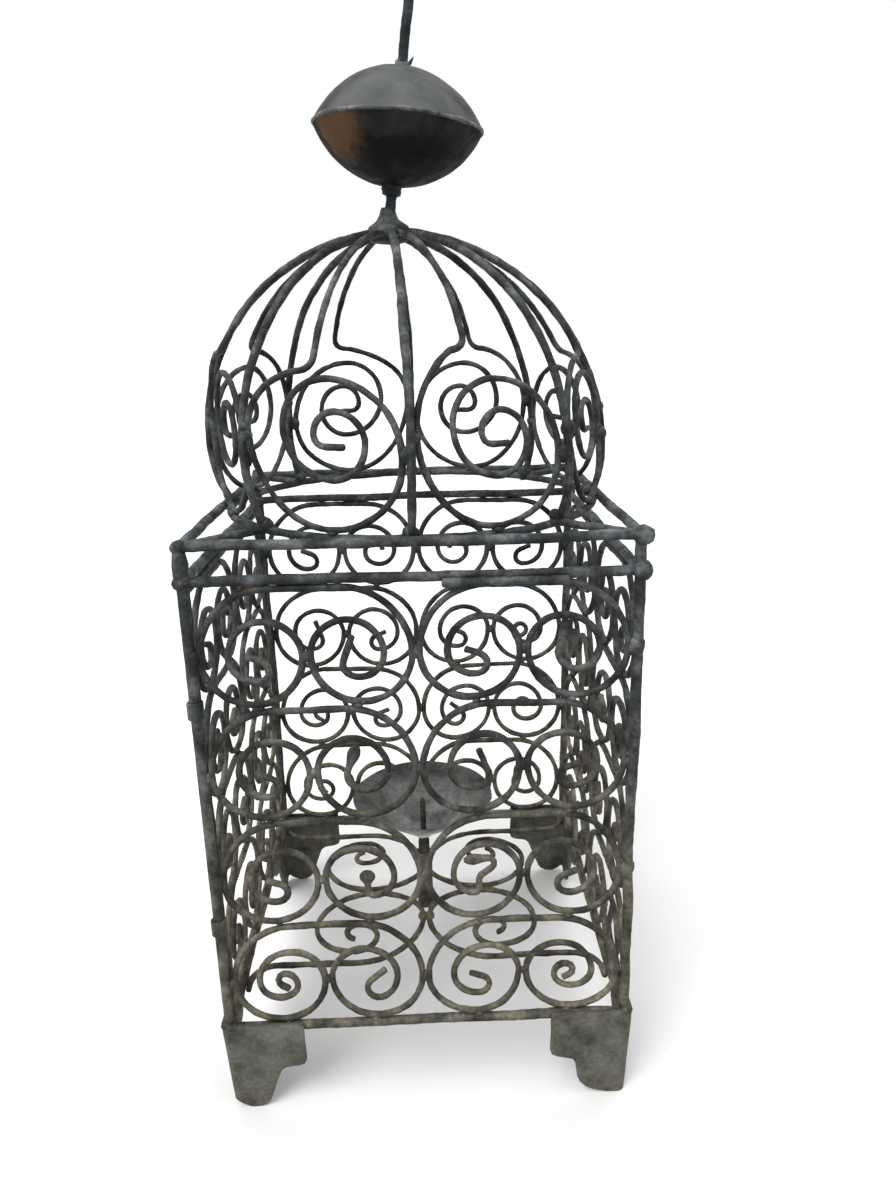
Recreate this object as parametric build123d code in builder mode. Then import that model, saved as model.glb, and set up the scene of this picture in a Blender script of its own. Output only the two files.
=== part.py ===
from build123d import *
import math
import os

os.makedirs("parts", exist_ok=True)

# Driving dimensions, in millimetres. The feet stand on z = 0 and the cage is centred on the Z axis.
cage_width = 240            # between post centres, both ways
foot_drop = 59              # bottom rail's axis above the ground
lower_rail_rise = 280       # bottom rail to lower top rail
upper_rail_rise = 299       # bottom rail to upper top rail
post_diameter = 6.2
rail_diameter = 5.8
scroll_wire = 3.9
weld_gap = 0.05             # left between pieces that touch side by side

panel_rows = 4
panel_columns = 2
volute_radius = 19.5        # second half turn of every scroll
inner_radius = 12           # third half turn
middle_gap = 0.5            # between the two volutes of one scroll

door_rod = 4
door_gap = 1.5              # between the door and the frame
strap_thickness = 1.4
strap_height = 10
strap_rows = (1, 3)         # the straps sit at the joints above these rows, counted from the bottom
hinge_clearance = 0.05

button_length = 28
button_width = 7
button_thickness = 1.5
button_gap = 0.3
rivet_diameter = 3.6

foot_width = 50
foot_thickness = 2
foot_shoulder = 21          # the wide part reaches this far below the rail
foot_top = 4                # above the rail's axis
foot_bend = 5               # outside radius of the fold

dish_radius = 49
dish_rim_rise = 88          # above the bottom rail's axis
dish_base_rise = 57
dish_base_radius = 6
dish_thickness = 1.2
spigot_diameter = 7.9
socket_bore = 8
socket_diameter = 11
socket_height = 43
socket_floor = 3
pricket_diameter = 4
pricket_height = 27

ring_wire = 4.8
rib_wire = 4.6
spoke_wire = 3.6
rib_count = 8
apex_rise = 458.5           # above the bottom rail's axis
apex_shift = -9             # the dome leans to the left
dome_bulge = 3              # the ribs reach this much further out than one arc would
hub_radius = 13

finial_lean = 7.6           # degrees, to the right
ball_lean = 4.6             # the ball sits straighter than its rod
ball_radius = 49
ball_rise = 57              # along the finial's axis, from the apex to the ball's seam
upper_cap = 31
lower_cap = 32.1
shell_thickness = 1.2
stem_diameter = 6
rod_diameter = 5.6
eye_radius = 9.8

# Sizes that follow from the driving ones
half = cage_width / 2
post_radius = post_diameter / 2
rail_radius = rail_diameter / 2
wire_radius = scroll_wire / 2
bottom_z = foot_drop
lower_z = bottom_z + lower_rail_rise
upper_z = bottom_z + upper_rail_rise
apex = Vector(apex_shift, 0, bottom_z + apex_rise)
ring_radius = half - rail_radius - ring_wire / 2 - weld_gap
corners = {
    "front_left": (-half, -half),
    "front_right": (half, -half),
    "rear_right": (half, half),
    "rear_left": (-half, half),
}


def finish(shape, name):
    """Labels a finished piece and writes it."""
    shape.label = name
    export_step(shape, f"parts/{name}.step")


def group(solids):
    """Several separate solids in one piece."""
    return Compound(children=list(solids))


def bend(plane, start, heading, steps):
    """Bends a wire in a plane: a step is a straight length, or a radius and a turn, left positive."""
    point = plane.from_local_coords(start)
    direction = plane.x_dir.rotate(Axis((0, 0, 0), plane.z_dir), heading)
    for step in steps:
        if isinstance(step, tuple):
            run = JernArc(point, direction, *step)
        else:
            run = Line(point, point + direction * step)
        point = run @ 1
        direction = run % 1


def tube(line, diameter):
    """A round wire swept along a line."""
    with BuildPart() as swept:
        with BuildSketch(Plane(origin=line @ 0, z_dir=line % 0)):
            Circle(diameter / 2)
        sweep(path=line)
    return swept.part


def wire(plane, diameter, *bends):
    """A round wire along one or more bends that meet end to end."""
    with BuildLine(plane) as path:
        for start, heading, steps in bends:
            bend(plane, start, heading, steps)
    return tube(path.wire(), diameter)


def rod(start, end, diameter):
    """A straight round rod between two points."""
    start = Vector(start)
    run = Vector(end) - start
    with BuildPart() as straight:
        with BuildSketch(Plane(origin=start, z_dir=run)):
            Circle(diameter / 2)
        extrude(amount=run.length)
    return straight.part


# Corner posts. The front left one carries a rest under each hinge strap.
row_pitch = (lower_rail_rise - rail_diameter) / panel_rows
strap_heights = [bottom_z + rail_radius + row * row_pitch for row in strap_rows]
rest_height = 2
rest_radius = post_radius + 1.1
rest_gap = 0.3
for name, (x, y) in corners.items():
    with BuildPart() as post:
        with BuildSketch(Plane.XY.offset(bottom_z - rail_radius)):
            with Locations((x, y)):
                Circle(post_radius)
        extrude(amount=upper_rail_rise + rail_diameter)
        fillet(post.edges().group_by(Axis.Z)[-1], 1.5)
        if name == "front_left":
            for height in strap_heights:
                with Locations((x, y, height - strap_height / 2 - rest_gap - rest_height / 2)):
                    Cylinder(rest_radius, rest_height)
    finish(post.part, f"post_{name}")

# Rails between the posts at three heights, with their ends hollowed to fit the posts
sides = {
    "front": ("front_left", "front_right"),
    "right": ("front_right", "rear_right"),
    "rear": ("rear_right", "rear_left"),
    "left": ("rear_left", "front_left"),
}
levels = {"bottom_rail": bottom_z, "lower_top_rail": lower_z, "upper_rail": upper_z}
for level, height in levels.items():
    for side, (first, second) in sides.items():
        ends = [Vector(*corners[corner], height) for corner in (first, second)]
        with BuildPart() as rail:
            add(rod(*ends, rail_diameter))
            with Locations(*ends):
                Cylinder(post_radius, 4 * rail_diameter, mode=Mode.SUBTRACT)
        finish(rail.part, f"{level}_{side}")

# Splice bar lapped along the front lower top rail, a little below and in front of it
splice_from = 16
splice_to = 81
splice_diameter = 5.4
splice_angle = 27
splice_reach = (rail_diameter + splice_diameter) / 2 + weld_gap
splice_y = -half - splice_reach * math.cos(math.radians(splice_angle))
splice_z = lower_z - splice_reach * math.sin(math.radians(splice_angle))
splice = rod((splice_from, splice_y, splice_z), (splice_to, splice_y, splice_z), splice_diameter)
finish(splice, "rail_splice_bar")

# Feet: angle plates outside the corners, wide at the rail and narrow at the ground
foot_outer = half + post_radius + foot_thickness
foot_steps = [
    (0, 0),
    (18, 0),
    (24, 7),
    (36, foot_drop - foot_shoulder - 8),
    (foot_width, foot_drop - foot_shoulder),
    (foot_width, foot_drop + foot_top),
    (0, foot_drop + foot_top),
]
for name, (x, y) in corners.items():
    inward_x = -math.copysign(1, x)
    inward_y = -math.copysign(1, y)
    corner = Vector(-inward_x * foot_outer, -inward_y * foot_outer, 0)
    faces = (
        Plane(corner, x_dir=(inward_x, 0, 0), z_dir=(0, -inward_x, 0)),
        Plane(corner, x_dir=(0, inward_y, 0), z_dir=(inward_y, 0, 0)),
    )
    with BuildPart() as foot:
        for face, inward in zip(faces, ((0, inward_y, 0), (inward_x, 0, 0))):
            with BuildSketch(face) as outline:
                with BuildLine():
                    Polyline(*foot_steps, close=True)
                make_face()
                fillet(outline.vertices().filter_by(lambda v: v.X > 20 and v.Y < foot_drop), 2)
            extrude(amount=foot_thickness, dir=inward)
        folds = foot.edges().filter_by(Axis.Z).sort_by_distance(corner)
        fillet(folds[0], foot_bend)
        inner_corner = corner + Vector(inward_x, inward_y, 0) * foot_thickness
        folds = foot.edges().filter_by(Axis.Z).sort_by_distance(inner_corner)
        fillet(folds[0], foot_bend - foot_thickness)
    finish(foot.part, f"foot_{name}")


def volute(width, height, tail):
    """Steps of half a scroll from the middle of its flat top: shoulder, outer turn, inner turns, tail."""
    outer = (width / 2 - wire_radius - (wire_radius + middle_gap / 2)) / 2
    shoulder = height - scroll_wire - outer
    flat = width / 2 - wire_radius - shoulder
    ratio = outer / 27
    inner = [(volute_radius * ratio, 180), (inner_radius * ratio, 130)]
    return [flat, (shoulder, 90), (outer, 180)] + inner + tail


def mirrored(steps):
    """The same bends turned the other way."""
    return [(step[0], -step[1]) if isinstance(step, tuple) else step for step in steps]


# Ways to end a scroll: a hook with a straight tail, a full curl, a closed ring and an open crook
hook_tail = [(7, 110), 9]
curl_tail = [(9, 110), (6, 120)]
ring_tail = [(8, 90), (5, 200)]
crook_tail = [(10, 60), 7]


def scroll(plane, width, height, left_tail, right_tail):
    """A two-ended scroll that hangs from the plane's origin, the middle of its flat top."""
    right = mirrored(volute(width, height, right_tail))
    left = volute(width, height, left_tail)
    return wire(plane, scroll_wire, ((0, 0), 0, right), ((0, 0), 180, left))


row_tails = [
    (hook_tail, crook_tail, ring_tail, curl_tail),
    (curl_tail, hook_tail, hook_tail, crook_tail),
]


def scroll_column(panel, centre, width, top, pitch, tails):
    """Four scrolls, one under the other."""
    solids = []
    for row in range(panel_rows):
        origin = panel.from_local_coords((centre, top - wire_radius - row * pitch))
        place = Plane(origin, x_dir=panel.x_dir, z_dir=panel.z_dir)
        left_tail = tails[row % len(tails)]
        right_tail = tails[(row + 1) % len(tails)]
        solids.append(scroll(place, width - weld_gap, pitch - weld_gap, left_tail, right_tail))
    return group(solids)


# Fixed panels of scrolls, seen from outside with X to the right
panels = {
    "front": Plane((0, -half, 0), x_dir=(1, 0, 0), z_dir=(0, -1, 0)),
    "right": Plane((half, 0, 0), x_dir=(0, 1, 0), z_dir=(1, 0, 0)),
    "rear": Plane((0, half, 0), x_dir=(-1, 0, 0), z_dir=(0, 1, 0)),
}
column_width = (cage_width - post_diameter) / panel_columns
panel_top = lower_z - rail_radius - weld_gap
for side, panel in panels.items():
    for hand, tails in zip((-1, 1), row_tails):
        column = scroll_column(panel, hand * column_width / 2, column_width, panel_top, row_pitch, tails)
        finish(column, f"scrolls_{side}_{'left' if hand < 0 else 'right'}")

# Door in the left side: four bars, two columns of scrolls and two straps round the front left post
door = Plane((-half, 0, 0), x_dir=(0, -1, 0), z_dir=(-1, 0, 0))
strap_bore = post_radius + hinge_clearance
strap_radius = strap_bore + strap_thickness
bar_y = half - strap_radius - door_rod / 2
bar_low = bottom_z + rail_radius + door_gap
bar_high = lower_z - rail_radius - door_gap
for name, y in (("door_hinge_bar", -bar_y), ("door_latch_bar", bar_y)):
    finish(rod((-half, y, bar_low), (-half, y, bar_high), door_rod), name)
for name, height in (("door_bottom_bar", bar_low), ("door_top_bar", bar_high)):
    inset = math.copysign(door_rod / 2, (bar_low + bar_high) / 2 - height)
    with BuildPart() as bar:
        add(rod((-half, -bar_y, height + inset), (-half, bar_y, height + inset), 0.96 * door_rod))
        with Locations((-half, -bar_y, height), (-half, bar_y, height)):
            Cylinder(door_rod / 2, 4 * door_rod, mode=Mode.SUBTRACT)
    finish(bar.part, name)
door_top = bar_high - door_rod - weld_gap
door_pitch = (door_top - bar_low - door_rod) / panel_rows
door_column = bar_y - door_rod / 2
for place, hand, tails in (("rear", -1, row_tails[0]), ("front", 1, row_tails[1])):
    column = scroll_column(door, hand * door_column / 2, door_column, door_top, door_pitch, tails)
    finish(column, f"door_scrolls_{place}")
for name, height in zip(("lower", "upper"), strap_heights):
    with BuildPart() as strap:
        with BuildSketch(Plane.XY.offset(height - strap_height / 2)):
            with Locations((-half, -half)):
                Circle(strap_radius)
                Circle(strap_bore, mode=Mode.SUBTRACT)
        extrude(amount=strap_height)
    finish(strap.part, f"hinge_strap_{name}")

# Turn button on the rear left post: a strip hanging from a rivet
button_z = (bottom_z + lower_z) / 2
button_face = -half - post_radius - button_gap
rivet_root = 0.2
rivet_head = 1.2
with BuildPart() as rivet:
    with BuildSketch(Plane((-half - post_radius + rivet_root, half, button_z), z_dir=(-1, 0, 0))):
        Circle(rivet_diameter / 2 - hinge_clearance)
    extrude(amount=rivet_root + 2 * button_gap + button_thickness + rivet_head)
    outer_face = Plane((button_face - button_thickness - button_gap, half, button_z), z_dir=(-1, 0, 0))
    with BuildSketch(outer_face):
        Circle(rivet_diameter)
    extrude(amount=rivet_head)
    fillet(rivet.edges().group_by(Axis.X)[0], 0.5)
finish(rivet.part, "latch_rivet")
with BuildPart() as button:
    drop = (button_length - button_width) / 2
    with BuildSketch(Plane((button_face, half, button_z - drop), x_dir=(0, 0, 1), z_dir=(-1, 0, 0))):
        SlotOverall(button_length, button_width)
        with Locations((drop, 0)):
            Circle(rivet_diameter / 2, mode=Mode.SUBTRACT)
    extrude(amount=button_thickness)
finish(button.part, "latch_button")

# Floor scrolls: an S laid against a side rail, that runs in and loops back towards it
floor_flat_front = -66
floor_mirror = 12.5         # the rear pair mirrors the front pair about this line
floor_rail = half - rail_radius - wire_radius - weld_gap
floor_lead = 16
loop_reach = 46.5           # from the flat to the loop's innermost point
loop_gap = 0.1
loop_inner = wire_radius + loop_gap
floor_run = floor_rail - floor_lead - loop_reach - loop_inner
floor_steps = [
    6,
    (floor_lead, -90),
    floor_run,
    (loop_reach, 90),
    (24, 45),
    (43, 45),
    (37.5, 90),
    (27, 90),
    (16, 90),
    (13, 90),
    (8, 160),
]
floor_start = (-floor_rail, floor_flat_front - floor_lead - floor_steps[0])
floor_plane = Plane.XY.offset(bottom_z)
front_left = wire(floor_plane, scroll_wire, (floor_start, 90, floor_steps))
front_right = mirror(front_left, about=Plane.YZ)
rear_plane = Plane.XZ.offset(-floor_mirror)
finish(group([front_left, front_right]), "floor_scrolls_front")
finish(group([mirror(scroll, about=rear_plane) for scroll in (front_left, front_right)]), "floor_scrolls_rear")

# Socket: a tube with a stop in its foot, in the notch between the two front loops
notch_centre_y = floor_flat_front + loop_reach
notch_reach = floor_steps[4][0] + wire_radius + socket_diameter / 2 + weld_gap
socket_y = notch_centre_y + math.sqrt(notch_reach**2 - (floor_steps[4][0] + loop_inner) ** 2)
socket_base = bottom_z - wire_radius
with BuildPart() as socket:
    with BuildSketch(Plane.XY.offset(socket_base)):
        with Locations((0, socket_y)):
            Circle(socket_diameter / 2)
    extrude(amount=socket_height + wire_radius)
    with BuildSketch(Plane.XY.offset(socket_base + socket_floor)):
        with Locations((0, socket_y)):
            Circle(socket_bore / 2)
    extrude(amount=socket_height, mode=Mode.SUBTRACT)
finish(socket.part, "dish_socket")

# Candle dish: a spun cone on a spigot, with a pricket for the candle
dish_low = bottom_z + dish_base_rise
dish_high = bottom_z + dish_rim_rise
dish_plane = Plane((0, socket_y, 0), x_dir=(1, 0, 0), z_dir=(0, -1, 0))
dish_axis = Axis((0, socket_y, 0), (0, 0, 1))
slope = math.atan2(dish_high - dish_low, dish_radius - dish_base_radius)
wall_rise = dish_thickness / math.cos(slope)
with BuildPart() as dish:
    with BuildSketch(dish_plane):
        with BuildLine():
            Polyline(
                (0, dish_low),
                (dish_base_radius, dish_low),
                (dish_radius, dish_high),
                (dish_radius, dish_high + wall_rise),
                (dish_base_radius, dish_low + wall_rise),
                (0, dish_low + wall_rise),
                close=True,
            )
        make_face()
    revolve(axis=dish_axis)
    fillet(dish.edges().group_by(Axis.Z)[-1], 0.4)
finish(dish.part, "candle_dish")
spigot_base = socket_base + socket_floor + 0.1
finish(rod((0, socket_y, spigot_base), (0, socket_y, dish_low), spigot_diameter), "dish_spigot")
tip_height = 12
tip_radius = 0.4
with BuildPart() as pricket:
    with BuildSketch(dish_plane):
        with BuildLine():
            base = dish_low + wall_rise
            Polyline(
                (0, base),
                (pricket_diameter / 2, base),
                (pricket_diameter / 2, base + pricket_height - tip_height),
                (tip_radius, base + pricket_height),
                (0, base + pricket_height),
                close=True,
            )
        make_face()
    revolve(axis=dish_axis)
finish(pricket.part, "pricket")

# Dome ring inside the upper rails, and braces from it to the corners
with BuildPart() as ring:
    with Locations((0, 0, upper_z)):
        Torus(ring_radius, ring_wire / 2)
finish(ring.part, "dome_ring")
brace_diameter = rib_wire
brace_outer = half * math.sqrt(2) - (rail_diameter + brace_diameter) / math.sqrt(2) - weld_gap
braces = []
for angle in (45, 135, 225, 315):
    outward = Vector(1, 0, 0).rotate(Axis.Z, angle)
    with BuildPart() as brace:
        height = Vector(0, 0, upper_z)
        add(rod(outward * ring_radius + height, outward * brace_outer + height, brace_diameter))
        with Locations((0, 0, upper_z)):
            Torus(ring_radius, ring_wire / 2 + weld_gap, mode=Mode.SUBTRACT)
    braces.append(brace.part)
finish(group(braces), "dome_corner_braces")


class Meridian:
    """The curve from the leaning apex to the dome's ring: a quarter turn, then a tighter arc inwards."""

    def __init__(self, angle):
        foot = Vector(ring_radius, 0, upper_z).rotate(Axis.Z, angle)
        span = foot - apex
        drop = -span.Z
        self.out = Vector(span.X, span.Y, 0).normalized()
        self.plane = Plane(apex, x_dir=self.out, z_dir=self.out.cross(Vector(0, 0, 1)))
        self.reach = Vector(span.X, span.Y, 0).length
        self.radius = (self.reach**2 + drop**2) / (2 * drop) + dome_bulge
        narrowing = self.radius - self.reach
        self.lower_drop = drop - self.radius
        self.lower_radius = (narrowing**2 + self.lower_drop**2) / (2 * narrowing)
        self.start_turn = math.degrees(math.asin(hub_radius / self.radius))

    def turn_at(self, height):
        """Degrees from the apex down to a height of the quarter turn."""
        return math.degrees(math.acos(1 - (apex.Z - height) / self.radius))

    def point(self, turn):
        """Local point of the quarter turn, across and down from the apex."""
        angle = math.radians(turn)
        return (self.radius * math.sin(angle), -self.radius * (1 - math.cos(angle)))

    def bend_to(self, turn):
        """The bend from the hub as far as a turn."""
        return (self.point(self.start_turn), -self.start_turn, [(self.radius, self.start_turn - turn)])

    def rib_bend(self, gap):
        """The bend from the hub to a little above the ring's middle."""
        foot_turn = math.degrees(math.asin((self.lower_drop - gap) / self.lower_radius))
        steps = [(self.radius, self.start_turn - 90), (self.lower_radius, -foot_turn)]
        return (self.point(self.start_turn), -self.start_turn, steps)


# Eight ribs from the hub to the top of the ring, with their feet hollowed to fit the ring and the rails
rib_names = ["right", "rear_right", "rear", "rear_left", "left", "front_left", "front", "front_right"]
rib_step = 360 / rib_count
for index, name in enumerate(rib_names):
    meridian = Meridian(index * rib_step)
    with BuildPart() as rib:
        add(wire(meridian.plane, rib_wire, meridian.rib_bend(0.5)))
        with Locations((0, 0, upper_z)):
            Torus(ring_radius, ring_wire / 2 + weld_gap, mode=Mode.SUBTRACT)
        for first, second in sides.values():
            ends = [Vector(*corners[corner], upper_z) for corner in (first, second)]
            add(rod(*ends, rail_diameter + 2 * weld_gap), mode=Mode.SUBTRACT)
    finish(rib.part.solids().sort_by(SortBy.VOLUME)[-1], f"dome_rib_{name}")

# Eight spokes between the ribs. Each kinks at the shoulder and winds into a spiral between two ribs.
# The sizes of a spiral are drawn for one half width, and scaled to each gap.
spiral_middle = 41.9        # half width that the sizes below are drawn for
spiral_drop = 85            # height from the kink to the lowest point
spiral_side = (-41.8, 49.6) # where the wire first runs straight down, beside the left rib
spiral_widest = 352         # height above the bottom rail at which the ribs' gap is measured
spiral_gap = 0.2
spiral_heading = 185
lead_turns = (32, 53)       # from the kink to the spiral's side
kink_length = 7             # taken off each leg of the kink by its bend
spiral_steps = [
    (53.7, 45),
    (39.7, 45),
    (42.4, 45),
    (33.8, 45),
    (39.3, 90),
    (24, 90),
    (26, 90),
    (18, 90),
    (16, 90),
    (11.5, 90),
    (6, 90),
    10,
]
# Each spoke's turn about Z from the middle of its gap, in degrees, and its kink's rise. They are hand-set.
spoke_places = [(0, 0), (-2, 0), (6, 0), (0, 0), (0, 0), (-2, -6), (-6, 5), (0, 0)]


def rib_gap(angle):
    """Between two ribs: half the clear width for a wire, the way across and the ring's point."""
    beside = []
    for offset in (-rib_step / 2, rib_step / 2):
        meridian = Meridian(angle + offset)
        reach, _ = meridian.point(meridian.turn_at(bottom_z + spiral_widest))
        beside.append(apex + meridian.out * reach)
    span = beside[1] - beside[0]
    across = span.normalized()
    outward = across.cross(Vector(0, 0, 1))
    shift = (beside[0] + beside[1]).dot(across) / 2
    foot = across * shift + outward * math.sqrt(ring_radius**2 - shift**2)
    clear = span.length / 2 - (rib_wire + spoke_wire) / 2 - spiral_gap
    return clear, across, foot + Vector(0, 0, upper_z + (ring_wire + spoke_wire) / 2 + spiral_gap)


def lead_steps(start, end):
    """Two arcs with the lead's turns, from the kink's bend to the spiral's side."""
    headings = [math.radians(spiral_heading)]
    for turn in lead_turns:
        headings.append(headings[-1] + math.radians(turn))
    sines = [math.sin(second) - math.sin(first) for first, second in zip(headings, headings[1:])]
    cosines = [math.cos(first) - math.cos(second) for first, second in zip(headings, headings[1:])]
    across = end[0] - start[0]
    down = end[1] - start[1]
    share = sines[0] * cosines[1] - sines[1] * cosines[0]
    first = (across * cosines[1] - sines[1] * down) / share
    second = (sines[0] * down - across * cosines[0]) / share
    return [(first, lead_turns[0]), (second, lead_turns[1])]


def spoke_and_spiral(angle, turn, kink_rise):
    """One wire from the hub, along the dome, round a kink and into a flat spiral."""
    spoke = Meridian(angle + turn)
    clear, across, foot = rib_gap(angle)
    scale = clear / spiral_middle
    spoke_turn = spoke.turn_at(foot.Z + scale * spiral_drop + kink_rise + kink_length)
    spoke_end = spoke.plane.from_local_coords(spoke.point(spoke_turn))
    down = spoke.plane.x_dir.rotate(Axis((0, 0, 0), spoke.plane.z_dir), -spoke_turn)
    kink = spoke_end + down * kink_length
    panel = Plane(foot, x_dir=across, z_dir=across.cross(kink - foot))
    heading = panel.x_dir.rotate(Axis((0, 0, 0), panel.z_dir), spiral_heading)
    lead_start = kink + heading * kink_length
    start = panel.to_local_coords(lead_start)
    lead = lead_steps((start.X, start.Y), (spiral_side[0] * scale, spiral_side[1] * scale))
    winding = [(s[0] * scale, s[1]) if isinstance(s, tuple) else s for s in spiral_steps]
    with BuildLine(spoke.plane) as upper:
        bend(spoke.plane, *spoke.bend_to(spoke_turn))
    with BuildLine() as corner:
        TangentArc(spoke_end, lead_start, tangent=down)
    with BuildLine(panel) as lower:
        bend(panel, (start.X, start.Y), spiral_heading, lead + winding)
    return tube(Wire(upper.edges() + corner.edges() + lower.edges()), spoke_wire)


spokes = [
    spoke_and_spiral((index + 0.5) * rib_step, turn, rise) for index, (turn, rise) in enumerate(spoke_places)
]
finish(group(spokes), "dome_spirals")

# Hub, where ribs and spokes end, on the dome's apex
hub_plane = Plane(apex, x_dir=(1, 0, 0), z_dir=(0, -1, 0))
apex_axis = Axis(apex, (0, 0, 1))
hub_bottom = -6
hub_shoulder = 2.5
hub_top = 10.5
with BuildPart() as hub:
    with BuildSketch(hub_plane):
        with BuildLine():
            Polyline(
                (0, hub_bottom),
                (hub_radius - 2, hub_bottom),
                (hub_radius - weld_gap, hub_bottom + 2),
                (hub_radius - weld_gap, hub_shoulder),
                (stem_diameter, hub_top - 2),
                (stem_diameter, hub_top),
                (0, hub_top),
                close=True,
            )
        make_face()
    revolve(axis=apex_axis)
finish(hub.part, "dome_hub")

# Finial: stem and hanging rod on one leaning axis, with a ball of two spun shells between them
lean = math.radians(finial_lean)
finial_up = Vector(math.sin(lean), 0, math.cos(lean))
finial_plane = Plane(apex, x_dir=(math.cos(lean), 0, -math.sin(lean)), z_dir=(0, -1, 0))
low_pole = ball_rise - lower_cap
high_pole = ball_rise + upper_cap
ball_tilt = math.radians(ball_lean)
ball_up = Vector(math.sin(ball_tilt), 0, math.cos(ball_tilt))
seam_centre = apex + finial_up * ball_rise
ball_plane = Plane(seam_centre, x_dir=(math.cos(ball_tilt), 0, -math.sin(ball_tilt)), z_dir=(0, -1, 0))


def shell(cap, upward, hole_radius):
    """A spun shell: a round cap from its pole to the seam, with a hole along the finial's axis."""
    outer_radius = (ball_radius**2 + cap**2) / (2 * cap)
    inner_radius = outer_radius - shell_thickness
    middle = cap - outer_radius
    inner_rim = math.sqrt(inner_radius**2 - middle**2)
    half_turn = math.asin(ball_radius / outer_radius) / 2

    def on_cap(radius):
        return (radius * math.sin(half_turn), upward * (middle + radius * math.cos(half_turn)))

    with BuildPart() as spun:
        with BuildSketch(ball_plane):
            with BuildLine():
                ThreePointArc((0, upward * cap), on_cap(outer_radius), (ball_radius, 0))
                Line((ball_radius, 0), (inner_rim, 0))
                ThreePointArc((inner_rim, 0), on_cap(inner_radius), (0, upward * (cap - shell_thickness)))
                Line((0, upward * (cap - shell_thickness)), (0, upward * cap))
            make_face()
        revolve(axis=Axis(seam_centre, ball_up))
        with BuildSketch(Plane(seam_centre + finial_up * upward * cap, z_dir=finial_up)):
            Circle(hole_radius)
        extrude(amount=4 * shell_thickness, both=True, mode=Mode.SUBTRACT)
    return spun.part


finish(shell(lower_cap, -1, stem_diameter / 2 + weld_gap), "finial_lower_shell")
finish(shell(upper_cap, 1, rod_diameter / 2 + weld_gap), "finial_upper_shell")
collar_radius = 5.5
collar_height = 4
stem_low = hub_top + 0.6
with BuildPart() as stem:
    add(rod(apex + finial_up * stem_low, apex + finial_up * (low_pole + 4), stem_diameter))
    collar_low = low_pole - collar_height - 0.4
    add(rod(apex + finial_up * collar_low, apex + finial_up * (low_pole - 0.4), 2 * collar_radius))
    fillet(stem.edges().filter_by(GeomType.CIRCLE).filter_by(lambda e: e.radius > stem_diameter / 2 + 1), 1)
finish(stem.part, "finial_stem")

# Hanging rod: out of the upper shell, bent aside and rolled into an eye above its own line
rod_low = high_pole - 4
rod_run = 38
side_bend = 42
rod_steps = [rod_run, (eye_radius, -side_bend), (eye_radius, 305)]
finish(wire(finial_plane, rod_diameter, ((0, rod_low), 90, rod_steps)), "hanging_rod")
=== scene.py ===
import math
import random

import bpy
from mathutils import Matrix, Vector


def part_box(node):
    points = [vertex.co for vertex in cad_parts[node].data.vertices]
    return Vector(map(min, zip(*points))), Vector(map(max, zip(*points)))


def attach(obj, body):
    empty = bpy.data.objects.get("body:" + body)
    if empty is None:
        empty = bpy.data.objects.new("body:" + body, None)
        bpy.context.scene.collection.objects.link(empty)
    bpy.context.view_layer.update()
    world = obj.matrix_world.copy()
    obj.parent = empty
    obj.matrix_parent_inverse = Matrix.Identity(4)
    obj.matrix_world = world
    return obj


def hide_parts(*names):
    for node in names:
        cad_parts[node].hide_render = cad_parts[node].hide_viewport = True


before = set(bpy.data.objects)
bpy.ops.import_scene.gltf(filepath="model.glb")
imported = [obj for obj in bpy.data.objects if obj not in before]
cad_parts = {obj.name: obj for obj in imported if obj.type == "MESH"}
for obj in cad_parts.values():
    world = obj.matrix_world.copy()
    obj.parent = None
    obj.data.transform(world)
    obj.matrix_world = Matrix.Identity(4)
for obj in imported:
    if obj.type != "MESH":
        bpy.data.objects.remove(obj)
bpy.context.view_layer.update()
random.seed(7)

# The forge drawings below are in millimetres, and MM brings them to the frame's metres
MM = 0.001
UPRIGHT = Vector((0, 0, 1))
ROD_SIDES = 12
RING_SPACING = 2.6
LEAST_BEND_STEPS = 4
# The share of a run that rises, above which the run counts as upright
STEEP = 0.9
MERGE_GAP = 0.01
SMOOTH_ANGLE = math.radians(50)


# Sizes read from the frame, in millimetres
def box_mm(node):
    """Lowest and highest corner of a node."""
    low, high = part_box(node)
    return low / MM, high / MM


def middle_mm(node):
    low, high = box_mm(node)
    return (low + high) / 2


def span_mm(node):
    low, high = box_mm(node)
    return high - low


HALF = middle_mm("post_front_right").x
POST_RADIUS = span_mm("post_front_right").x / 2
POST_FOOT = box_mm("post_front_right")[0].z
POST_TOP = box_mm("post_front_right")[1].z
RAIL_RADIUS = span_mm("bottom_rail_front").z / 2
BOTTOM_Z = middle_mm("bottom_rail_front").z
LOWER_Z = middle_mm("lower_top_rail_front").z
UPPER_Z = middle_mm("upper_rail_front").z
WIRE_RADIUS = span_mm("scrolls_front_left").y / 2
RING_WIRE = span_mm("dome_ring").z / 2
RING_RADIUS = span_mm("dome_ring").x / 2 - RING_WIRE
RIB_WIRE = span_mm("dome_rib_left").y / 2
SPOKE_WIRE = 1.8
HUB_RADIUS = span_mm("dome_hub").x / 2
HUB_DROP = 6
APEX = Vector((middle_mm("dome_hub").x, 0, box_mm("dome_hub")[0].z + HUB_DROP))
SOCKET = middle_mm("dish_socket")
CORNERS = {
    "front_left": (-HALF, -HALF),
    "front_right": (HALF, -HALF),
    "rear_right": (HALF, HALF),
    "rear_left": (-HALF, HALF),
}


# Drawing boards
def board(origin, right, up):
    """A flat drawing board: where it stands, its way right and its way up."""
    right = Vector(right).normalized()
    out = right.cross(Vector(up)).normalized()
    turned = Matrix((right, out.cross(right), out)).transposed().to_4x4()
    turned.translation = Vector(origin)
    return turned


def level_board(height):
    """A board that lies level and is read from above."""
    return board((0, 0, height), (1, 0, 0), (0, 1, 0))


FLAT = level_board(0)


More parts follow.
